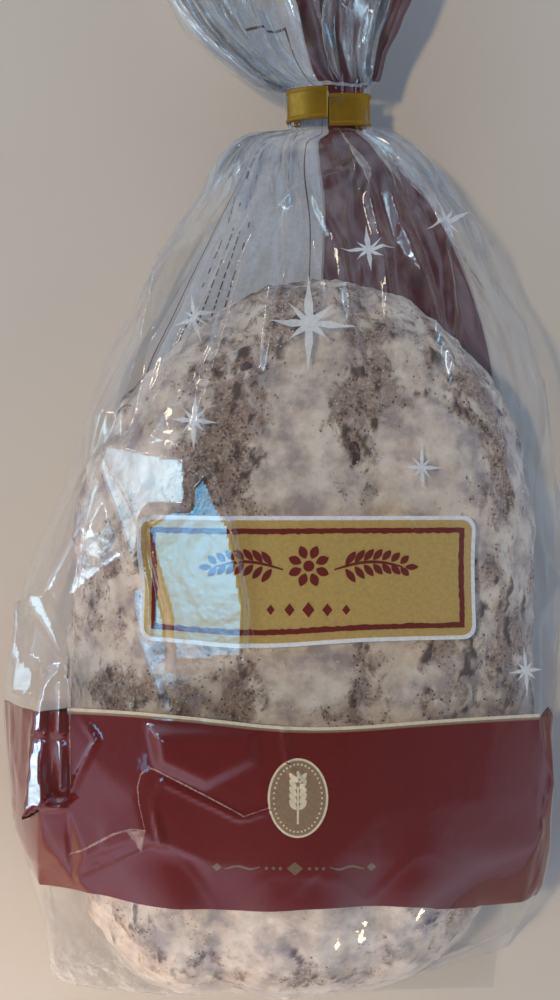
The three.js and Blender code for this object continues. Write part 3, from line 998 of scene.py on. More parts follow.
def strip_material():
    """Gold-laminated paper strip over two steel wires: a satin, slightly crumpled metallic yellow."""
    colour = tuple(bpy.context.scene.clip_settings.strip_colour)
    material, tree, place = new_material("gold_laminated_strip")
    tone = patchy(tree, [(0.3, tuple(c * 0.8 for c in colour)), (0.7, colour)], place, 4.0)
    rough = patchy(tree, [(0.3, 0.42), (0.7, 0.58)], place, 1.2)
    crumpled = add(tree, "TexNoise", blotches(place, 1.5))
    bump = add(tree, "Bump", {"Height": crumpled, "Strength": 0.25, "Distance": 0.0003})
    surface = {"Base Color": tone, "Roughness": rough, "Metallic": 0.6, "Normal": bump}
    shader = add(tree, "BsdfPrincipled", surface)
    add(tree, "OutputMaterial", {"Surface": shader})
    return material


def table_material():
    """Matt white laminate: an even, dull white. Its fine embossing is drawn 1.5 mm wide, so that it
    shows at all."""
    colour = tuple(bpy.context.scene.stage_settings.table_colour)
    material, tree, place = new_material("matt_white_laminate")
    tone = patchy(tree, [(0.3, tuple(c * 0.97 for c in colour)), (0.7, colour)], place, 60.0, 2.0)
    uneven = add(tree, "TexNoise", blotches(place, 1.5, 2.0))
    bump = add(tree, "Bump", {"Height": uneven, "Strength": 0.05, "Distance": 0.0002})
    surface = {"Base Color": tone, "Roughness": 0.6, "Specular IOR Level": 0.2, "Normal": bump}
    shader = add(tree, "BsdfPrincipled", surface)
    add(tree, "OutputMaterial", {"Surface": shader})
    return material


# --- Settings -----------------------------------------------------------------------------------
def colour_property(name, description, hex_colour):
    """A colour that a user may change."""
    default = linear(hex_colour)
    return FloatVectorProperty(
        name=name, description=description, default=default, subtype="COLOR", min=0, max=1
    )


def share_property(name, description, default, most=1):
    """A share that a user may change."""
    return FloatProperty(
        name=name, description=description, default=default, min=0, max=most, subtype="FACTOR"
    )


def length_property(name, description, default):
    """A length in metres that a user may change."""
    return FloatProperty(name=name, description=description, default=default, min=0, unit="LENGTH")


class BagSettings(bpy.types.PropertyGroup):
    creasing: share_property("Creasing", "How far the film's creases stand up", 1.0, most=2)
    haze: share_property("Haze", "Milkiness of the film seen square on", 0.005)
    haze_at_edge: share_property("Haze at edges", "Milkiness of the film seen at a slant", 0.3)
    haze_colour: colour_property("Haze colour", "Colour of the film's milkiness", "e8e4e0")


class PrintSettings(bpy.types.PropertyGroup):
    red: colour_property("Red", "Ink of the band", "70190f")
    line_red: colour_property("Line red", "Ink of the label's frame and ornament", "76261a")
    wine: colour_property("Wine red", "Ink of the back panel", "5a2026")
    gold: colour_property("Gold", "Ink of the label", "cfae66")
    dull_gold: colour_property("Dull gold", "Ink of the badge and ornaments", "a88a6c")
    cream: colour_property("Cream", "Ink of the trim lines", "e8dcc0")
    white: colour_property("White", "Ink of the stars and the label's edge", "f2f5f7")
    pale: colour_property("Pale", "Ink of the plain panel on the back", "dfe9f8")


class LoafSettings(bpy.types.PropertyGroup):
    sugar_colour: colour_property("Sugar", "Colour of the caked powdered sugar", "dac9ba")
    crust_colour: colour_property("Crust", "Colour of the bare crust", "836651")
    lump_height: length_property("Lump height", "Height of the crust's lumps", 0.0016)
    raisins: IntProperty(name="Raisins", description="Raisins that show in the crust", default=3, min=0)
    grains: IntProperty(name="Grains", description="Loose grains of sugar on the crust", default=2200, min=0)


class ClipSettings(bpy.types.PropertyGroup):
    width: length_property("Width", "Width of the strip", 0.0086)
    thickness: length_property("Thickness", "Thickness of the strip", 0.0005)
    strip_colour: colour_property("Strip", "Colour of the strip", "a37a18")


class StageSettings(bpy.types.PropertyGroup):
    camera_height: length_property("Camera height", "Height of the camera above the table", 0.48)
    view_length: length_property("View length", "Length of table in view, top to bottom", 0.2795)
    table_colour: colour_property("Table", "Colour of the table", "d9d2ca")


# --- The loaf -----------------------------------------------------------------------------------
# Where the crust is bare (positive) or the sugar thick (negative): x, y, half width, half length, amount.
BARE = [
    (-16, 50, 8, 20, 0.5),
    (-24, 40, 6, 10, 0.4),
    (-26, 64, 7, 8, 0.3),
    (-6, 80, 5, 9, 0.4),
    (16, 55, 5, 18, 0.42),
    (9, 62, 3, 10, 0.35),
    (22, 77, 14, 7, 0.35),
    (40, 62, 7, 9, 0.45),
    (50, 47, 5, 15, 0.45),
    (0, 90, 14, 4, 0.4),
    (-44, -12, 17, 6, 0.5),
    (-14, -12, 5, 9, 0.45),
    (13, -9, 3.5, 13, 0.45),
    (30, -14, 18, 3, 0.3),
    (32, -2, 9, 9, 0.25),
    (52, -4, 5, 14, 0.4),
    (-52, 12, 6, 12, 0.35),
    (-45, 24, 5, 8, 0.2),
    (50, 22, 5, 12, 0.3),
    (42, 5, 6, 9, 0.4),
    (-38, -74, 7, 5, 0.3),
    (1, -87, 7, 3.5, 0.5),
    (-24, -75, 4, 3, 0.25),
    (36, -70, 8, 4, 0.25),
    (-3, 43, 8, 15, -0.4),
    (-1, -6, 11, 10, -0.4),
    (29, 43, 9, 14, -0.25),
    (-30, -4, 9, 8, -0.25),
    (30, -10, 8, 4, -0.1),
    (-8, -72, 34, 9, -0.25),
]


def fractal(points, size, octaves, seed):
    """Fractal noise about 0 at points in millimetres, with blotches of a size."""
    shift = Vector((seed * 17.3, seed * 5.1, seed * 9.7))
    return np.array([noise.fractal(Vector(p) / size + shift, 1.0, 2.0, octaves) for p in points])


def loaf_ring(y, angle):
    """One section of the loaf: flat below, round at its sides, furrowed above."""
    left, right = along(LOAF, "left", y), along(LOAF, "right", y)
    waist = along(LOAF, "waist", y)
    middle, half = (right - left) / 2, (right + left) / 2
    x = middle + half * power(np.cos(angle), 2 / LOAF_ROUND)
    sine = np.sin(angle)
    below = waist - (waist - LOAF_FLOOR) * np.abs(sine) ** (2 / 3.6)
    above = np.maximum(loaf_top(x, np.full(len(x), y)), waist)
    return np.stack([x, np.full(len(x), y), np.where(sine > 0, above, below)], -1)


def loaf_points():
    """The loaf's sections, closer together at its ends, with most of their points on the upper side."""
    start, end, reach, count = LOAF["y"][0], LOAF["y"][-1], 12, 16
    close = np.linspace(0, 1, count, endpoint=False) ** 1.6 * reach
    lines = np.concatenate([start + close, np.linspace(start + reach, end - reach, 200), end - close[::-1]])
    lines = np.clip(lines, start + 0.02, end - 0.02)
    upper, under = 300, 100
    angle = np.concatenate([
        np.linspace(0, math.pi, upper, endpoint=False),
        np.linspace(math.pi, 2 * math.pi, under, endpoint=False),
    ])
    return np.stack([loaf_ring(y, angle) for y in lines])


def bareness(points):
    """How bare of sugar the crust is, from about -0.5 to 1."""
    x, y, z = points.T
    stretched = points * np.array([1.0, 0.62, 1.0])
    amount = 0.02 + 0.26 * fractal(stretched, 14, 3, 2) + 0.2 * fractal(stretched, 6, 3, 8)
    for place, station, half_width, half_length, rise in BARE:
        amount += rise * bell((x, place, half_width), (y, station, half_length))
    for place, half_width, _ in FURROWS:
        amount += 0.1 * bell((x, place, half_width)) * (z > 30)
    amount += 0.12 * (1 - smooth(4, 16, z))
    return amount


def make_loaf():
    settings = bpy.context.scene.loaf_settings
    grid = loaf_points()
    rows, columns, _ = grid.shape
    flat, normals = grid.reshape(-1, 3), grid_normals(grid).reshape(-1, 3)
    bare = bareness(flat)
    drawn = flat * np.array([1.0, 0.6, 1.0])
    lumps = fractal(flat, 17, 3, 4) + 0.45 * fractal(drawn, 6, 3, 7)
    crumbs = fractal(drawn, 3.2, 3, 9)
    pits = smooth(0.34, 0.52, crumbs) * smooth(0.05, 0.3, bare + 0.25 * fractal(flat, 9, 2, 15))
    rise = settings.lump_height / MM * (lumps - 0.25)
    rise += 0.5 * (1 - smooth(0.1, 0.4, bare)) - 0.55 * pits
    rise += 0.3 * fractal(drawn, 2.6, 2, 12) * smooth(-0.1, 0.3, bare) + 0.1 * fractal(flat, 1.4, 2, 13)
    rise += 0.4 * fractal(flat, 4.5, 3, 19)
    highest = 1.3  # under the film's clearance
    resting = smooth(LOAF_FLOOR, 7, flat[:, 2])
    moved = flat + normals * (np.minimum(rise, highest) * resting)[:, None]
    moved[:, 2] = np.maximum(moved[:, 2], LOAF_FLOOR - 0.2)
    points = np.concatenate([moved, [moved[:columns].mean(0), moved[-columns:].mean(0)]])
    faces = [face[::-1] for face in capped_faces(rows, columns)]
    piece = new_piece("loaf", points, faces, crust_material(), "sugared_crust")
    new_field(piece, "bare", np.append(bare, [0.5, 0.5]))
    new_field(piece, "pit", np.append(pits * 0.85, [0, 0]))


def ball(columns, rows):
    """Points and faces of a unit ball."""
    up = np.linspace(-math.pi / 2, math.pi / 2, rows + 2)[1:-1, None]
    angle = np.linspace(0, 2 * math.pi, columns, endpoint=False)
    level = np.repeat(np.sin(up), columns, 1)
    rings = np.stack([np.cos(up) * np.cos(angle), np.cos(up) * np.sin(angle), level], -1)
    return np.concatenate([rings.reshape(-1, 3), [(0, 0, -1), (0, 0, 1)]]), capped_faces(rows, columns)


def loaf_surface(x, y):
    return float(loaf_top(np.array(x), np.array(y)))


RAISIN_PLACES = [(-14, 68), (12, 47), (42, 20)]  # of the raisins that show most; more lie at random


def make_raisins():
    settings = bpy.context.scene.loaf_settings
    draw = random.Random(21)
    base, faces = ball(16, 10)
    shapes = []
    for k in range(settings.raisins):
        if k < len(RAISIN_PLACES):
            x, y = RAISIN_PLACES[k]
        else:
            x, y = draw.uniform(-44, 44), draw.uniform(-76, 66)
        size = np.array([draw.uniform(2.2, 3.6), draw.uniform(1.6, 2.4), draw.uniform(1.2, 1.8)])
        wrinkled = base * (1 + 0.16 * fractal(base, 0.55, 2, k))[:, None] * size
        turn = draw.uniform(0, math.pi)
        sunk = size[2] * draw.uniform(0.5, 0.95)
        across, up = turned(x, y, wrinkled[:, 0], wrinkled[:, 1], turn)
        shapes.append((np.stack([across, up, wrinkled[:, 2] + loaf_surface(x, y) - sunk], -1), faces))
    joined_piece("raisins", shapes, raisin_material(), "dried_fruit")


def make_grains():
    """Loose caked sugar: angular grains on the crust, densest round the bare patches."""
    settings = bpy.context.scene.loaf_settings
    draw = random.Random(33)
    base = np.array([(1, 0, 0), (-1, 0, 0), (0, 1, 0), (0, -1, 0), (0, 0, 1), (0, 0, -1)], float)
    faces = [(0, 2, 4), (2, 1, 4), (1, 3, 4), (3, 0, 4), (2, 0, 5), (1, 2, 5), (3, 1, 5), (0, 3, 5)]
    patches = [p for p in BARE if p[4] > 0]
    shapes = []
    while len(shapes) < settings.grains:
        if draw.random() < 0.6:
            place = draw.choice(patches)
            x, y = draw.gauss(place[0], place[2]), draw.gauss(place[1], place[3])
        else:
            x, y = draw.uniform(-58, 60), draw.uniform(-90, 90)
        height = loaf_surface(x, y)
        if height < 24:  # too low on the loaf's side for sugar to stay
            continue
        size = draw.uniform(0.12, 0.34)
        jitter = np.array([[draw.uniform(0.6, 1.3) for _ in range(3)] for _ in base])
        shapes.append((base * jitter * size + np.array([x, y, height + 0.15]), faces))
    joined_piece("sugar_grains", shapes, grain_material(), "sugared_crust")


# --- Film, seam and clip ------------------------------------------------------------------------
def slackness(points):
    """How milky the film is with slack wrinkles: in its bottom left corner, along its bottom, on its
    shoulder and left side and in its tail."""
    x, y, _ = points.T
    corner = 0.3 * bell((x, -56, 20), (y, -92, 15))
    bottom = 0.12 * (1 - smooth(-97, -82, y))
    shoulder = 0.1 * smooth(55, 108, y) * (1 - smooth(128, 134, y))
    tail = 0.07 * smooth(NECK_TO, NECK_TO + 9, y)
    side = 0.02 * smooth(56, 66, -x) * (y < NECK_FROM)
    return corner + bottom + shoulder + tail + side


def make_film():
    points, _ = film()
    rows, columns, _ = points.shape
    flat = points.reshape(-1, 3)
    piece = new_piece("film_bag", flat, grid_faces(rows, columns), film_material(), "film")
    new_field(piece, "slack", slackness(flat))
    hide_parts("bag")


# Folds drawn whitened, with a painted highlight along them, as seen from above: a width and the points they
# run through.
WHITENED_FOLD_HIGHLIGHTS = [
    (
        0.42,
        [
            (-8.6, -39.6), (-14.7, -41.8), (-25, -36.4), (-36.4, -30.6), (-38.2, -30.3), (-39.8, -32),
            (-40.5, -35), (-40.2, -39), (-38.6, -45.7),
        ],
    ),
    (0.6, [(-38.4, -45.7), (-42, -45.6), (-46.8, -47.2), (-49.5, -48.8), (-55.2, -52.1), (-59.5, -54.2)]),
    (0.7, [(-51.5, 48.5), (-46, 39.5), (-40.5, 29.1), (-37, 18), (-34.3, 7.5)]),
    (0.4, [(-51.5, 49.5), (-43, 47.3), (-35, 46), (-28.4, 45)]),
    (0.45, [(-22.3, 42), (-19.8, 35.3), (-17, 24.9), (-14.2, 12.6), (-12.3, 2.2)]),
    (0.4, [(-58.2, -37), (-58.4, -22), (-58.2, -6), (-57.3, 8), (-54.8, 28), (-52.6, 44)]),
]
# Drawn whitened and with the same painted highlight as the folds above.
WHITENED_FOLD_TIP_HIGHLIGHT = [(-38.4, -45.7), (-40.4, -52.1), (-41.2, -48.8), (-43.6, -46.1)]  # a fold's small flat end


def make_whitened_fold_highlights():
    """The sharpest folds of the film, whitened and a little raised, with a painted highlight along each."""
    loops = [stroke(fine_route(route), width, 0.3) for width, route in WHITENED_FOLD_HIGHLIGHTS]
    # pale ribbons on the film: the folds' whitening and a painted highlight of their glints
    ink_each("fold_whitening_and_highlights", [*loops, loop(WHITENED_FOLD_TIP_HIGHLIGHT)], -0.06, whitened_fold_highlight_material(), "film")


def make_seam():
    """The sealed bottom seam: a flat ribbed tab that shows past the bottom edge."""
    outline = loop([(1, -90), (1, -102.3), (53.5, -100.5), (55, -88)])
    upper_left, lower_left, lower_right, upper_right = outline
    columns, rows = 60, 40
    s, t = np.meshgrid(np.linspace(0, 1, columns), np.linspace(0, 1, rows))
    low = lerp(lower_left, lower_right, s[..., None])
    high = lerp(upper_left, upper_right, s[..., None])
    flat = lerp(high, low, t[..., None])
    ribs = 0.1 * np.sin(2 * math.pi * flat[..., 1] / 1.1) * smooth(-94, -96, flat[..., 1])
    lift = 0.45 + ribs + 0.5 * smooth(0.75, 1, s) * t + 0.3 * np.sin(5 * s + 1)
    points = np.concatenate([flat, lift[..., None]], -1).reshape(-1, 3)
    film_plastic = bpy.data.materials["clear_polypropylene_film"]
    new_piece("bottom_seam", points, grid_faces(rows, columns, ring=False), film_plastic, "film")


def make_clip():
    """A flat strip with a wire along each edge, wound once round the neck and lapped over its end."""
    settings = bpy.context.scene.clip_settings
    width, thickness = settings.width / MM, settings.thickness / MM
    steps, bead, climb = 220, 0.38, 1.8
    inset = thickness + bead + 0.47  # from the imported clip's box in to the strip's inner side
    low, high = (np.array(v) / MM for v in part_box("clip"))
    reach, rise = (high[0] - low[0]) / 2 - inset, (high[2] - low[2]) / 2 - inset
    centre = (low + high) / 2
    share = np.linspace(-1, 1, 33)[::-1]
    wires = np.exp(-(((np.abs(share) - 0.86) / 0.085) ** 2))
    outer = thickness + bead * wires - 0.08 * (1 - share**2)
    profile = [(0.0, width / 2), *zip(outer, share * width / 2), (0.0, -width / 2)]
    rings = []
    for i in range(steps + 1):
        wound = i / steps
        angle = math.pi / 2 - 2 * math.pi * min(wound, 0.9985)
        across, up = power(math.cos(angle), 2 / NECK_ROUND), power(math.sin(angle), 2 / NECK_ROUND)
        out = np.array([math.cos(angle) / reach, math.sin(angle) / rise])
        out /= np.linalg.norm(out)
        lap = smooth(0.86, 0.97, wound)
        lifted = thickness * lap * 1.5 + 0.12 * math.sin(9 * wound * math.pi)
        tilt = climb * (wound - 0.5) + 0.09 * max(0.0, wound - 0.8) * 18 * (1 - wound)
        for away, along_neck in profile:
            x = centre[0] + reach * across + out[0] * (away + lifted)
            z = centre[2] + rise * up + out[1] * (away + lifted)
            rings.append((x, centre[1] + along_neck + tilt, z))
    rows, columns = steps + 1, len(profile)
    faces = [tuple(quad) for quad in grid_faces(rows, columns)]
    faces += [tuple(range(columns)), tuple(range((rows - 1) * columns, rows * columns))[::-1]]
    piece = new_piece("clip_strip", rings, faces, strip_material(), "clip_gold")
    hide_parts("clip")


# --- The print ----------------------------------------------------------------------------------
BAND_TOP, BAND_BOTTOM = -18.4, -66.0
LABEL = (-40.5, 1.2, 42.5, 31.6)


def band_top(u):
    """The band's upper edge round the girth; it is lower where the gussets turn under."""
    turned_under = 4.2 * smooth(EAR_FOLD, EAR_FOLD + 8, np.abs(u))
    wave = 0.3 - 0.012 * (u + 30) + 0.4 * np.cos(u / 20 + 2.4) - 1.9 * bell((u, -1, 28))
    return BAND_TOP - turned_under + wave


def band_bottom(u):
    return BAND_BOTTOM + 1.8 * smooth(-40, -66, u) - 2.2 * smooth(30, 65, u) + 0.6 * np.sin(u / 11)


def between_lines(low, high, start, end):
    """A loop between two curves over a stretch of the girth."""
    u = np.linspace(start, end, int(end - start) + 1)
    return np.concatenate([np.stack([u, low(u)], -1), np.stack([u, high(u)], -1)[::-1]])


def make_band():
    settings = bpy.context.scene.print_settings
    red = ink_material("band_red_ink", settings.red)
    cream = ink_material("trim_cream_ink", settings.cream)
    gold = ink_material("trim_gold_ink", settings.dull_gold, 0.35, 0.3)
    whole = between_lines(band_bottom, band_top, -BACK_FOLD, BACK_FOLD)
    ink("band_field", [whole], INK_DEPTH + 0.06, red, "print_red", as_seen=False)
    side = FRONT_FOLD - 0.4
    trim = between_lines(lambda u: band_top(u) + 0.1, lambda u: band_top(u) + 0.9, -side, side)
    ink("band_trim", [trim], INK_DEPTH, cream, "print_white", as_seen=False)
    u = np.arange(-side, side, 0.35)
    teeth = np.where(np.arange(len(u)) % 2, -0.62, -0.34)
    edge, tips = np.stack([u, band_top(u) + 0.02], -1), np.stack([u, band_top(u) + teeth], -1)
    serrated = np.concatenate([edge, tips[::-1]])
    ink("band_gold_line", [serrated], INK_DEPTH, gold, "print_gold", as_seen=False)


def wavy_box(box, inset, wave, seed):
    """A box's outline whose sides waver like a pen line."""
    draw = random.Random(seed)
    points = densified(box_loop(*box, inset), 0.8)
    return points + np.array([[draw.uniform(-wave, wave), draw.uniform(-wave, wave)] for _ in points])


def sprig(x, y, way, length):
    """A curved stem with pairs of leaves, growing to one side."""
    t = np.linspace(0, 1, 16)
    stem = np.stack([x + way * length * t, y + 1.9 * np.sin(t * math.pi * 0.9)], -1)
    loops = [stroke(stem, 0.75, 0.5)]
    for k in range(2, 15, 2):
        px, py = stem[k]
        for side in (1, -1):
            turn = side * (0.95 - 0.2 * t[k])
            turn = turn if way > 0 else math.pi - turn
            loops.append(leaf(px + way * 0.5, py + side * 0.45, 4.4 - 1.6 * t[k], 1.7, turn))
    loops.append(leaf(stem[-1][0] + way * 0.5, stem[-1][1], 3.4, 1.5, 0 if way > 0 else math.pi))
    return loops


def rosette(x, y, radius, petals):
    loops = [disc(x, y, radius * 0.26)]
    for k in range(petals):
        angle = 2 * math.pi * k / petals + math.pi / petals
        start = radius * 0.36
        px, py = x + start * math.cos(angle), y + start * math.sin(angle)
        loops.append(leaf(px, py, radius * 0.66, radius * 0.42, angle))
    return loops


def make_label():
    settings = bpy.context.scene.print_settings
    white = ink_material("label_edge_ink", settings.white)
    gold = ink_material("label_gold_ink", settings.gold, 0.38, 0.15)
    red = ink_material("label_red_ink", settings.line_red)
    x0, y0, x1, y1 = LABEL

    def bowed(outline):
        """The outline where the film bulges: its lower side hangs a little."""
        x, y = densified(outline).T
        hang = 1.7 * bell((x, -12, 20)) * (y1 - y) / (y1 - y0)
        return np.stack([x, y - hang], -1)

    ink("label_edge", [bowed(rounded_box(x0, y0, x1, y1, 3.0))], INK_DEPTH + 0.14, white, "print_white")
    field = bowed(rounded_box(x0 + 1, y0 + 1, x1 - 1, y1 - 1, 2.4))
    ink("label_field", [field], INK_DEPTH + 0.07, gold, "print_gold")
    lines = [bowed(wavy_box(LABEL, 2.9, 0.07, 1)), bowed(wavy_box(LABEL, 4.2, 0.16, 2))]
    x, y = (x0 + x1) / 2, lerp(y0, y1, 0.6)
    garland = rosette(x, y, 5.2, 8) + sprig(x + 6.2, y - 0.9, 1, 17) + sprig(x - 6.2, y - 0.9, -1, 17)
    row_y = lerp(y0, y1, 0.25)
    row = [diamond(x + k * 4.6, row_y, 1.5 - 0.25 * abs(k), 1.9 - 0.3 * abs(k)) for k in range(-2, 3)]
    ink("label_frame", lines, INK_DEPTH, red, "print_red")
    ink_each("label_ornament", garland + row, INK_DEPTH, red, "print_red")


def wheat_ear(x, y, high):
    """A stem with pairs of grains and a grain at its tip."""
    loops = [stroke([(x, y - high / 2 + high * t) for t in np.linspace(0, 0.75, 6)], 0.5)]
    for k in range(5):
        py = y - high * 0.22 + k * high * 0.135
        for side in (1, -1):
            loops.append(leaf(x + side * 0.35, py, high * 0.25, 1.35, math.pi / 2 - side * 0.6))
    loops.append(leaf(x, y + high * 0.33, high * 0.24, 1.3, math.pi / 2))
    return loops


def make_badge():
    settings = bpy.context.scene.print_settings
    gold = ink_material("badge_gold_ink", settings.dull_gold, 0.36, 0.25)
    cream = ink_material("badge_cream_ink", settings.cream)
    x, y, rx, ry = -1.5, -37.3, 7.4, 9.9
    ink("badge_field", [disc(x, y, rx, ry, steps=64)], INK_DEPTH + 0.03, gold, "print_gold")
    ring = [disc(x, y, rx, ry, steps=72), disc(x, y, rx - 0.55, ry - 0.55, steps=72)]
    ink("badge_ring", ring, INK_DEPTH, cream, "print_white")
    angles = np.linspace(0, 2 * math.pi, 40, endpoint=False)
    beads = [disc(x + (rx - 1.5) * math.cos(a), y + (ry - 1.5) * math.sin(a), 0.26, steps=10) for a in angles]
    ears = wheat_ear(x, y - 0.2, 12.5)
    ink_each("badge_ornament", beads + ears, INK_DEPTH - 0.02, cream, "print_white")


def make_border():
    """A row of lines, diamonds and dots under the badge."""
    settings = bpy.context.scene.print_settings
    gold = ink_material("border_gold_ink", [c * 0.62 for c in settings.dull_gold], 0.4, 0.2)
    x, y = -2.2, -55.0
    loops = [diamond(x, y, 2.0, 1.7)]
    for side in (1, -1):
        for k in range(3):
            loops.append(disc(x + side * (3.6 + 1.7 * k), y, 0.45, steps=12))
        wave = [(x + side * t, y + 0.35 * math.sin(t)) for t in np.linspace(8.6, 17.4, 22)]
        loops.append(stroke(wave, 0.6, 0.4))
        loops.append(diamond(x + side * 19.2, y, 1.2, 1.1))
    ink_each("band_border", loops, INK_DEPTH, gold, "print_gold")


STARS = [  # place, width, height and turn
    (1.6, 79.3, 20.5, 23.7, -0.05),
    (14.5, 98.6, 11, 13, 0.1),
    (-25.5, 81, 12, 13, 0.2),
    (-26.5, 55, 12, 17, -0.05),
    (33, 106.5, 17, 15, 0.35),
    (29, 43.5, 10.5, 12.5, 0.0),
    (55.5, -7, 9.5, 12.5, 0.08),
]


def make_stars():
    settings = bpy.context.scene.print_settings
    white = ink_material("star_white_ink", settings.white, roughness=0.4, cover=0.84)
    ink_each("stars", [star(*place) for place in STARS], INK_DEPTH, white, "print_white")


def back_stretch(start, end, y0, y1):
    """A loop over a stretch of the back panel, given as shares from its right fold to its left."""
    u0, u1 = (lerp(BACK_FOLD, GIRTH - BACK_FOLD, share) for share in (start, end))
    return box_loop(u0, y0, u1, y1)


def make_back_print():
    settings = bpy.context.scene.print_settings
    wine = ink_material("back_wine_ink", settings.wine)
    pale = ink_material("back_pale_ink", settings.pale, cover=0.6)
    line = ink_material("back_line_ink", linear("5d2a30"), roughness=0.45, cover=0.9)
    ink("back_wine_field", [back_stretch(0.02, 0.5, -92, 147)], INK_DEPTH, wine, "print_red", as_seen=False)
    tail_wine = [loop([(92, 148), (200, 148), (200, 199), (84, 199)])]
    ink("tail_wine_field", tail_wine, INK_DEPTH, wine, "print_red", as_seen=False)
    pale_part = [back_stretch(0.505, 0.94, -88, 170)]
    ink("back_pale_field", pale_part, INK_DEPTH, pale, "print_white", as_seen=False)
    frame_line = [back_stretch(0.54, 0.955, -84, 164), back_stretch(0.544, 0.951, -83.3, 163.3)]
    ink("back_frame_line", frame_line, INK_DEPTH + 0.08, line, "print_red", as_seen=False)
    draw = random.Random(5)
    rows = []
    for k in range(4):
        share, y = 0.79 + 0.034 * k, -76.0
        while y < 150:
            long = draw.uniform(0.7, 2.6)
            off = draw.uniform(0, 0.003)
            rows.append(back_stretch(share + off, share + off + 0.005, y, y + long))
            y += long + (draw.uniform(0.5, 0.9) if draw.random() < 0.8 else draw.uniform(2, 6))
    ink("back_rules", rows, INK_DEPTH + 0.08, line, "print_red", as_seen=False)


# --- The stage ----------------------------------------------------------------------------------
def make_table():
    mesh = bpy.data.meshes.new("table_top")
    reach = 1.6
    mesh.from_pydata([(*corner, 0) for corner in box_loop(-reach, -reach, reach, reach)], [], [(0, 1, 2, 3)])
    mesh.materials.append(table_material())
    table = bpy.data.objects.new("table_top", mesh)
    bpy.context.scene.collection.objects.link(table)


def make_light(name, place, target, size, power_watts, colour, shines=True, glint=True, soft=False):
    """A lit rectangle. shines: it lights what it falls on; glint: it shows in glossy surfaces; soft:
    it is brightest in its middle and fades out to its edges."""
    data = bpy.data.lights.new(name, "AREA")
    data.shape = "RECTANGLE"
    data.size, data.size_y = size
    data.energy = power_watts
    data.color = colour
    if soft:
        data.use_nodes = True
        tree = data.node_tree
        tree.nodes.clear()
        parts = add(tree, "SeparateXYZ", {0: add(tree, "NewGeometry").outputs["Parametric"]})
        fade = [(0.0, 0.0), (0.5, 1.5), (1.0, 0.0)]
        across, up = (add(tree, "ValToRGB", {"Fac": parts.outputs[k]}, fade) for k in (0, 1))
        strength = add(tree, "Math", {0: across, 1: up}, operation="MULTIPLY")
        add(tree, "OutputLight", {"Surface": add(tree, "Emission", {"Strength": strength})})
    light = bpy.data.objects.new(name, data)
    light.location = place
    light.rotation_euler = (Vector(target) - Vector(place)).to_track_quat("-Z", "Y").to_euler()
    light.visible_diffuse, light.visible_glossy = shines, glint
    bpy.context.scene.collection.objects.link(light)


def make_camera():
    settings = bpy.context.scene.stage_settings
    data = bpy.data.cameras.new("camera")
    data.sensor_fit = "VERTICAL"
    data.sensor_height = 36
    data.lens = data.sensor_height * settings.camera_height / settings.view_length
    data.clip_start = 0.01
    camera = bpy.data.objects.new("camera", data)
    camera.location = (-5.9 * MM, 35.5 * MM, settings.camera_height)
    bpy.context.scene.collection.objects.link(camera)
    bpy.context.scene.camera = camera


def make_world():
    world = bpy.data.worlds.new("soft_room")
    bpy.context.scene.world = world
    world.use_nodes = True
    tree = world.node_tree
    tree.nodes.clear()
    parts = add(tree, "SeparateXYZ", {0: add(tree, "TexCoord").outputs["Generated"]})
    side = add(tree, "Math", {0: parts.outputs["X"], 1: 0.5, 2: 0.5}, operation="MULTIPLY_ADD")
    tints = [(0.0, (0.8, 1.03, 1.4)), (0.5, (0.72, 0.9, 1.2)), (1.0, (0.7, 0.88, 1.17))]
    sky = add(tree, "ValToRGB", {"Fac": side}, tints)
    levels = [(0.0, 0.62), (0.35, 0.96), (0.75, 0.2), (1.0, 0.1)]
    level = add(tree, "ValToRGB", {"Fac": parts.outputs["Z"]}, levels)
    add(tree, "OutputWorld", {"Surface": add(tree, "Background", {"Color": sky, "Strength": level})})


# Lamps and windows: place, target, width and height in metres, watts and colour, and how each shows.
UNSEEN = {"glint": False}
IN_FILM = {"shines": False}  # shows in the film only, since the room's sky gives its light
WINDOW = {"shines": False, "soft": True}
LIGHTS = [
    ("key_lamp", (-0.65, 0.2, 2.0), (0, 0.02, 0), (0.13, 0.13), 13.0, (0.98, 0.76, 0.42), UNSEEN),
    ("corner_lamp", (-0.2, -0.22, 0.12), (-0.08, -0.09, 0), (0.1, 0.1), 0.34, (1.0, 0.72, 0.5), UNSEEN),
    ("end_lamp", (0.38, -0.75, 0.32), (0.04, -0.08, 0.03), (0.07, 0.07), 0.35, (1.0, 0.76, 0.46), {}),
    ("shelf_lamp", (-0.7, 0.64, 0.58), (-0.04, 0.09, 0.04), (0.09, 0.09), 0.35, (1.0, 0.84, 0.62), IN_FILM),
    ("window", (-1.25, 0.55, 0.75), (-0.038, 0.042, 0.052), (0.6, 0.5), 4.8, (0.52, 0.82, 1.0), WINDOW),
    ("low_window", (-1.4, 0.2, 0.3), (-0.06, 0, 0.04), (1.0, 0.5), 2.4, (0.45, 0.76, 1.0), WINDOW),
    ("side_window", (-1.14, 0.11, 0.75), (-0.066, -0.02, 0.05), (0.3, 0.2), 2.6, (0.6, 0.84, 1.0), WINDOW),
    ("curtain", (-0.64, -0.02, 1.1), (-0.027, 0.015, 0.06), (0.3, 0.36), 1.75, (0.15, 0.6, 1.0), WINDOW),
]


# --- Operators ----------------------------------------------------------------------------------
class STOLLEN_OT_loaf(bpy.types.Operator):
    """Bake the loaf: sugared crust, raisins and loose sugar"""

    bl_idname = "stollen.loaf"
    bl_label = "Loaf"

    def execute(self, context):
        make_loaf()
        make_raisins()
        make_grains()
        return {"FINISHED"}


class STOLLEN_OT_film(bpy.types.Operator):
    """Wrap the creased film bag round the loaf, with its bottom seam"""

    bl_idname = "stollen.film"
    bl_label = "Film bag"

    def execute(self, context):
        make_film()
        make_whitened_fold_highlights()
        make_seam()
        return {"FINISHED"}


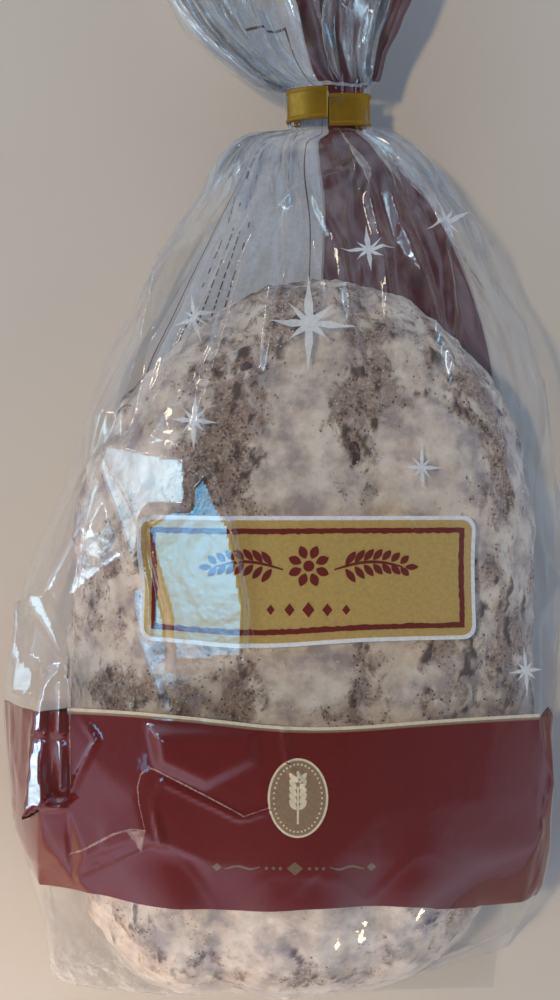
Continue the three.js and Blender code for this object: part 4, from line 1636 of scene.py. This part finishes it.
class STOLLEN_OT_front_print(bpy.types.Operator):
    """Print the front panel: band, label, badge, border and stars"""

    bl_idname = "stollen.front_print"
    bl_label = "Front print"

    def execute(self, context):
        make_band()
        make_label()
        make_badge()
        make_border()
        make_stars()
        return {"FINISHED"}


class STOLLEN_OT_back_print(bpy.types.Operator):
    """Print the back panel: a wine red field beside a pale ruled one"""

    bl_idname = "stollen.back_print"
    bl_label = "Back print"

    def execute(self, context):
        make_back_print()
        return {"FINISHED"}


class STOLLEN_OT_clip(bpy.types.Operator):
    """Close the neck with the gold strip"""

    bl_idname = "stollen.clip"
    bl_label = "Clip"

    def execute(self, context):
        make_clip()
        return {"FINISHED"}


class STOLLEN_OT_stage(bpy.types.Operator):
    """Set up the table, the lights and the camera"""

    bl_idname = "stollen.stage"
    bl_label = "Stage"

    def execute(self, context):
        make_table()
        make_world()
        make_camera()
        context.scene.view_settings.view_transform = "Standard"
        for *placed, shown in LIGHTS:
            make_light(*placed, **shown)
        return {"FINISHED"}


class STOLLEN_PT_panel(bpy.types.Panel):
    """Lists the pieces of the stollen pack"""

    bl_label = "Stollen"
    bl_idname = "STOLLEN_PT_panel"
    bl_space_type = "VIEW_3D"
    bl_region_type = "UI"
    bl_category = "Stollen"

    def draw(self, context):
        layout = self.layout
        for operator in OPERATORS:
            layout.operator(operator.bl_idname)
        for group in SETTINGS:
            settings = getattr(context.scene, group)
            for name in settings.__annotations__:
                layout.prop(settings, name)


SETTINGS = {
    "bag_settings": BagSettings,
    "print_settings": PrintSettings,
    "loaf_settings": LoafSettings,
    "clip_settings": ClipSettings,
    "stage_settings": StageSettings,
}
OPERATORS = (
    STOLLEN_OT_loaf,
    STOLLEN_OT_film,
    STOLLEN_OT_front_print,
    STOLLEN_OT_back_print,
    STOLLEN_OT_clip,
    STOLLEN_OT_stage,
)


def register():
    for group in SETTINGS.values():
        bpy.utils.register_class(group)
    for name, group in SETTINGS.items():
        setattr(bpy.types.Scene, name, PointerProperty(type=group))
    for operator in OPERATORS:
        bpy.utils.register_class(operator)
    bpy.utils.register_class(STOLLEN_PT_panel)


def unregister():
    bpy.utils.unregister_class(STOLLEN_PT_panel)
    for operator in reversed(OPERATORS):
        bpy.utils.unregister_class(operator)
    for name in SETTINGS:
        delattr(bpy.types.Scene, name)
    for group in reversed(SETTINGS.values()):
        bpy.utils.unregister_class(group)


def main():
    register()
    bpy.ops.stollen.stage()
    bpy.ops.stollen.loaf()
    bpy.ops.stollen.film()
    bpy.ops.stollen.front_print()
    bpy.ops.stollen.back_print()
    bpy.ops.stollen.clip()


if __name__ == "__main__":
    main()
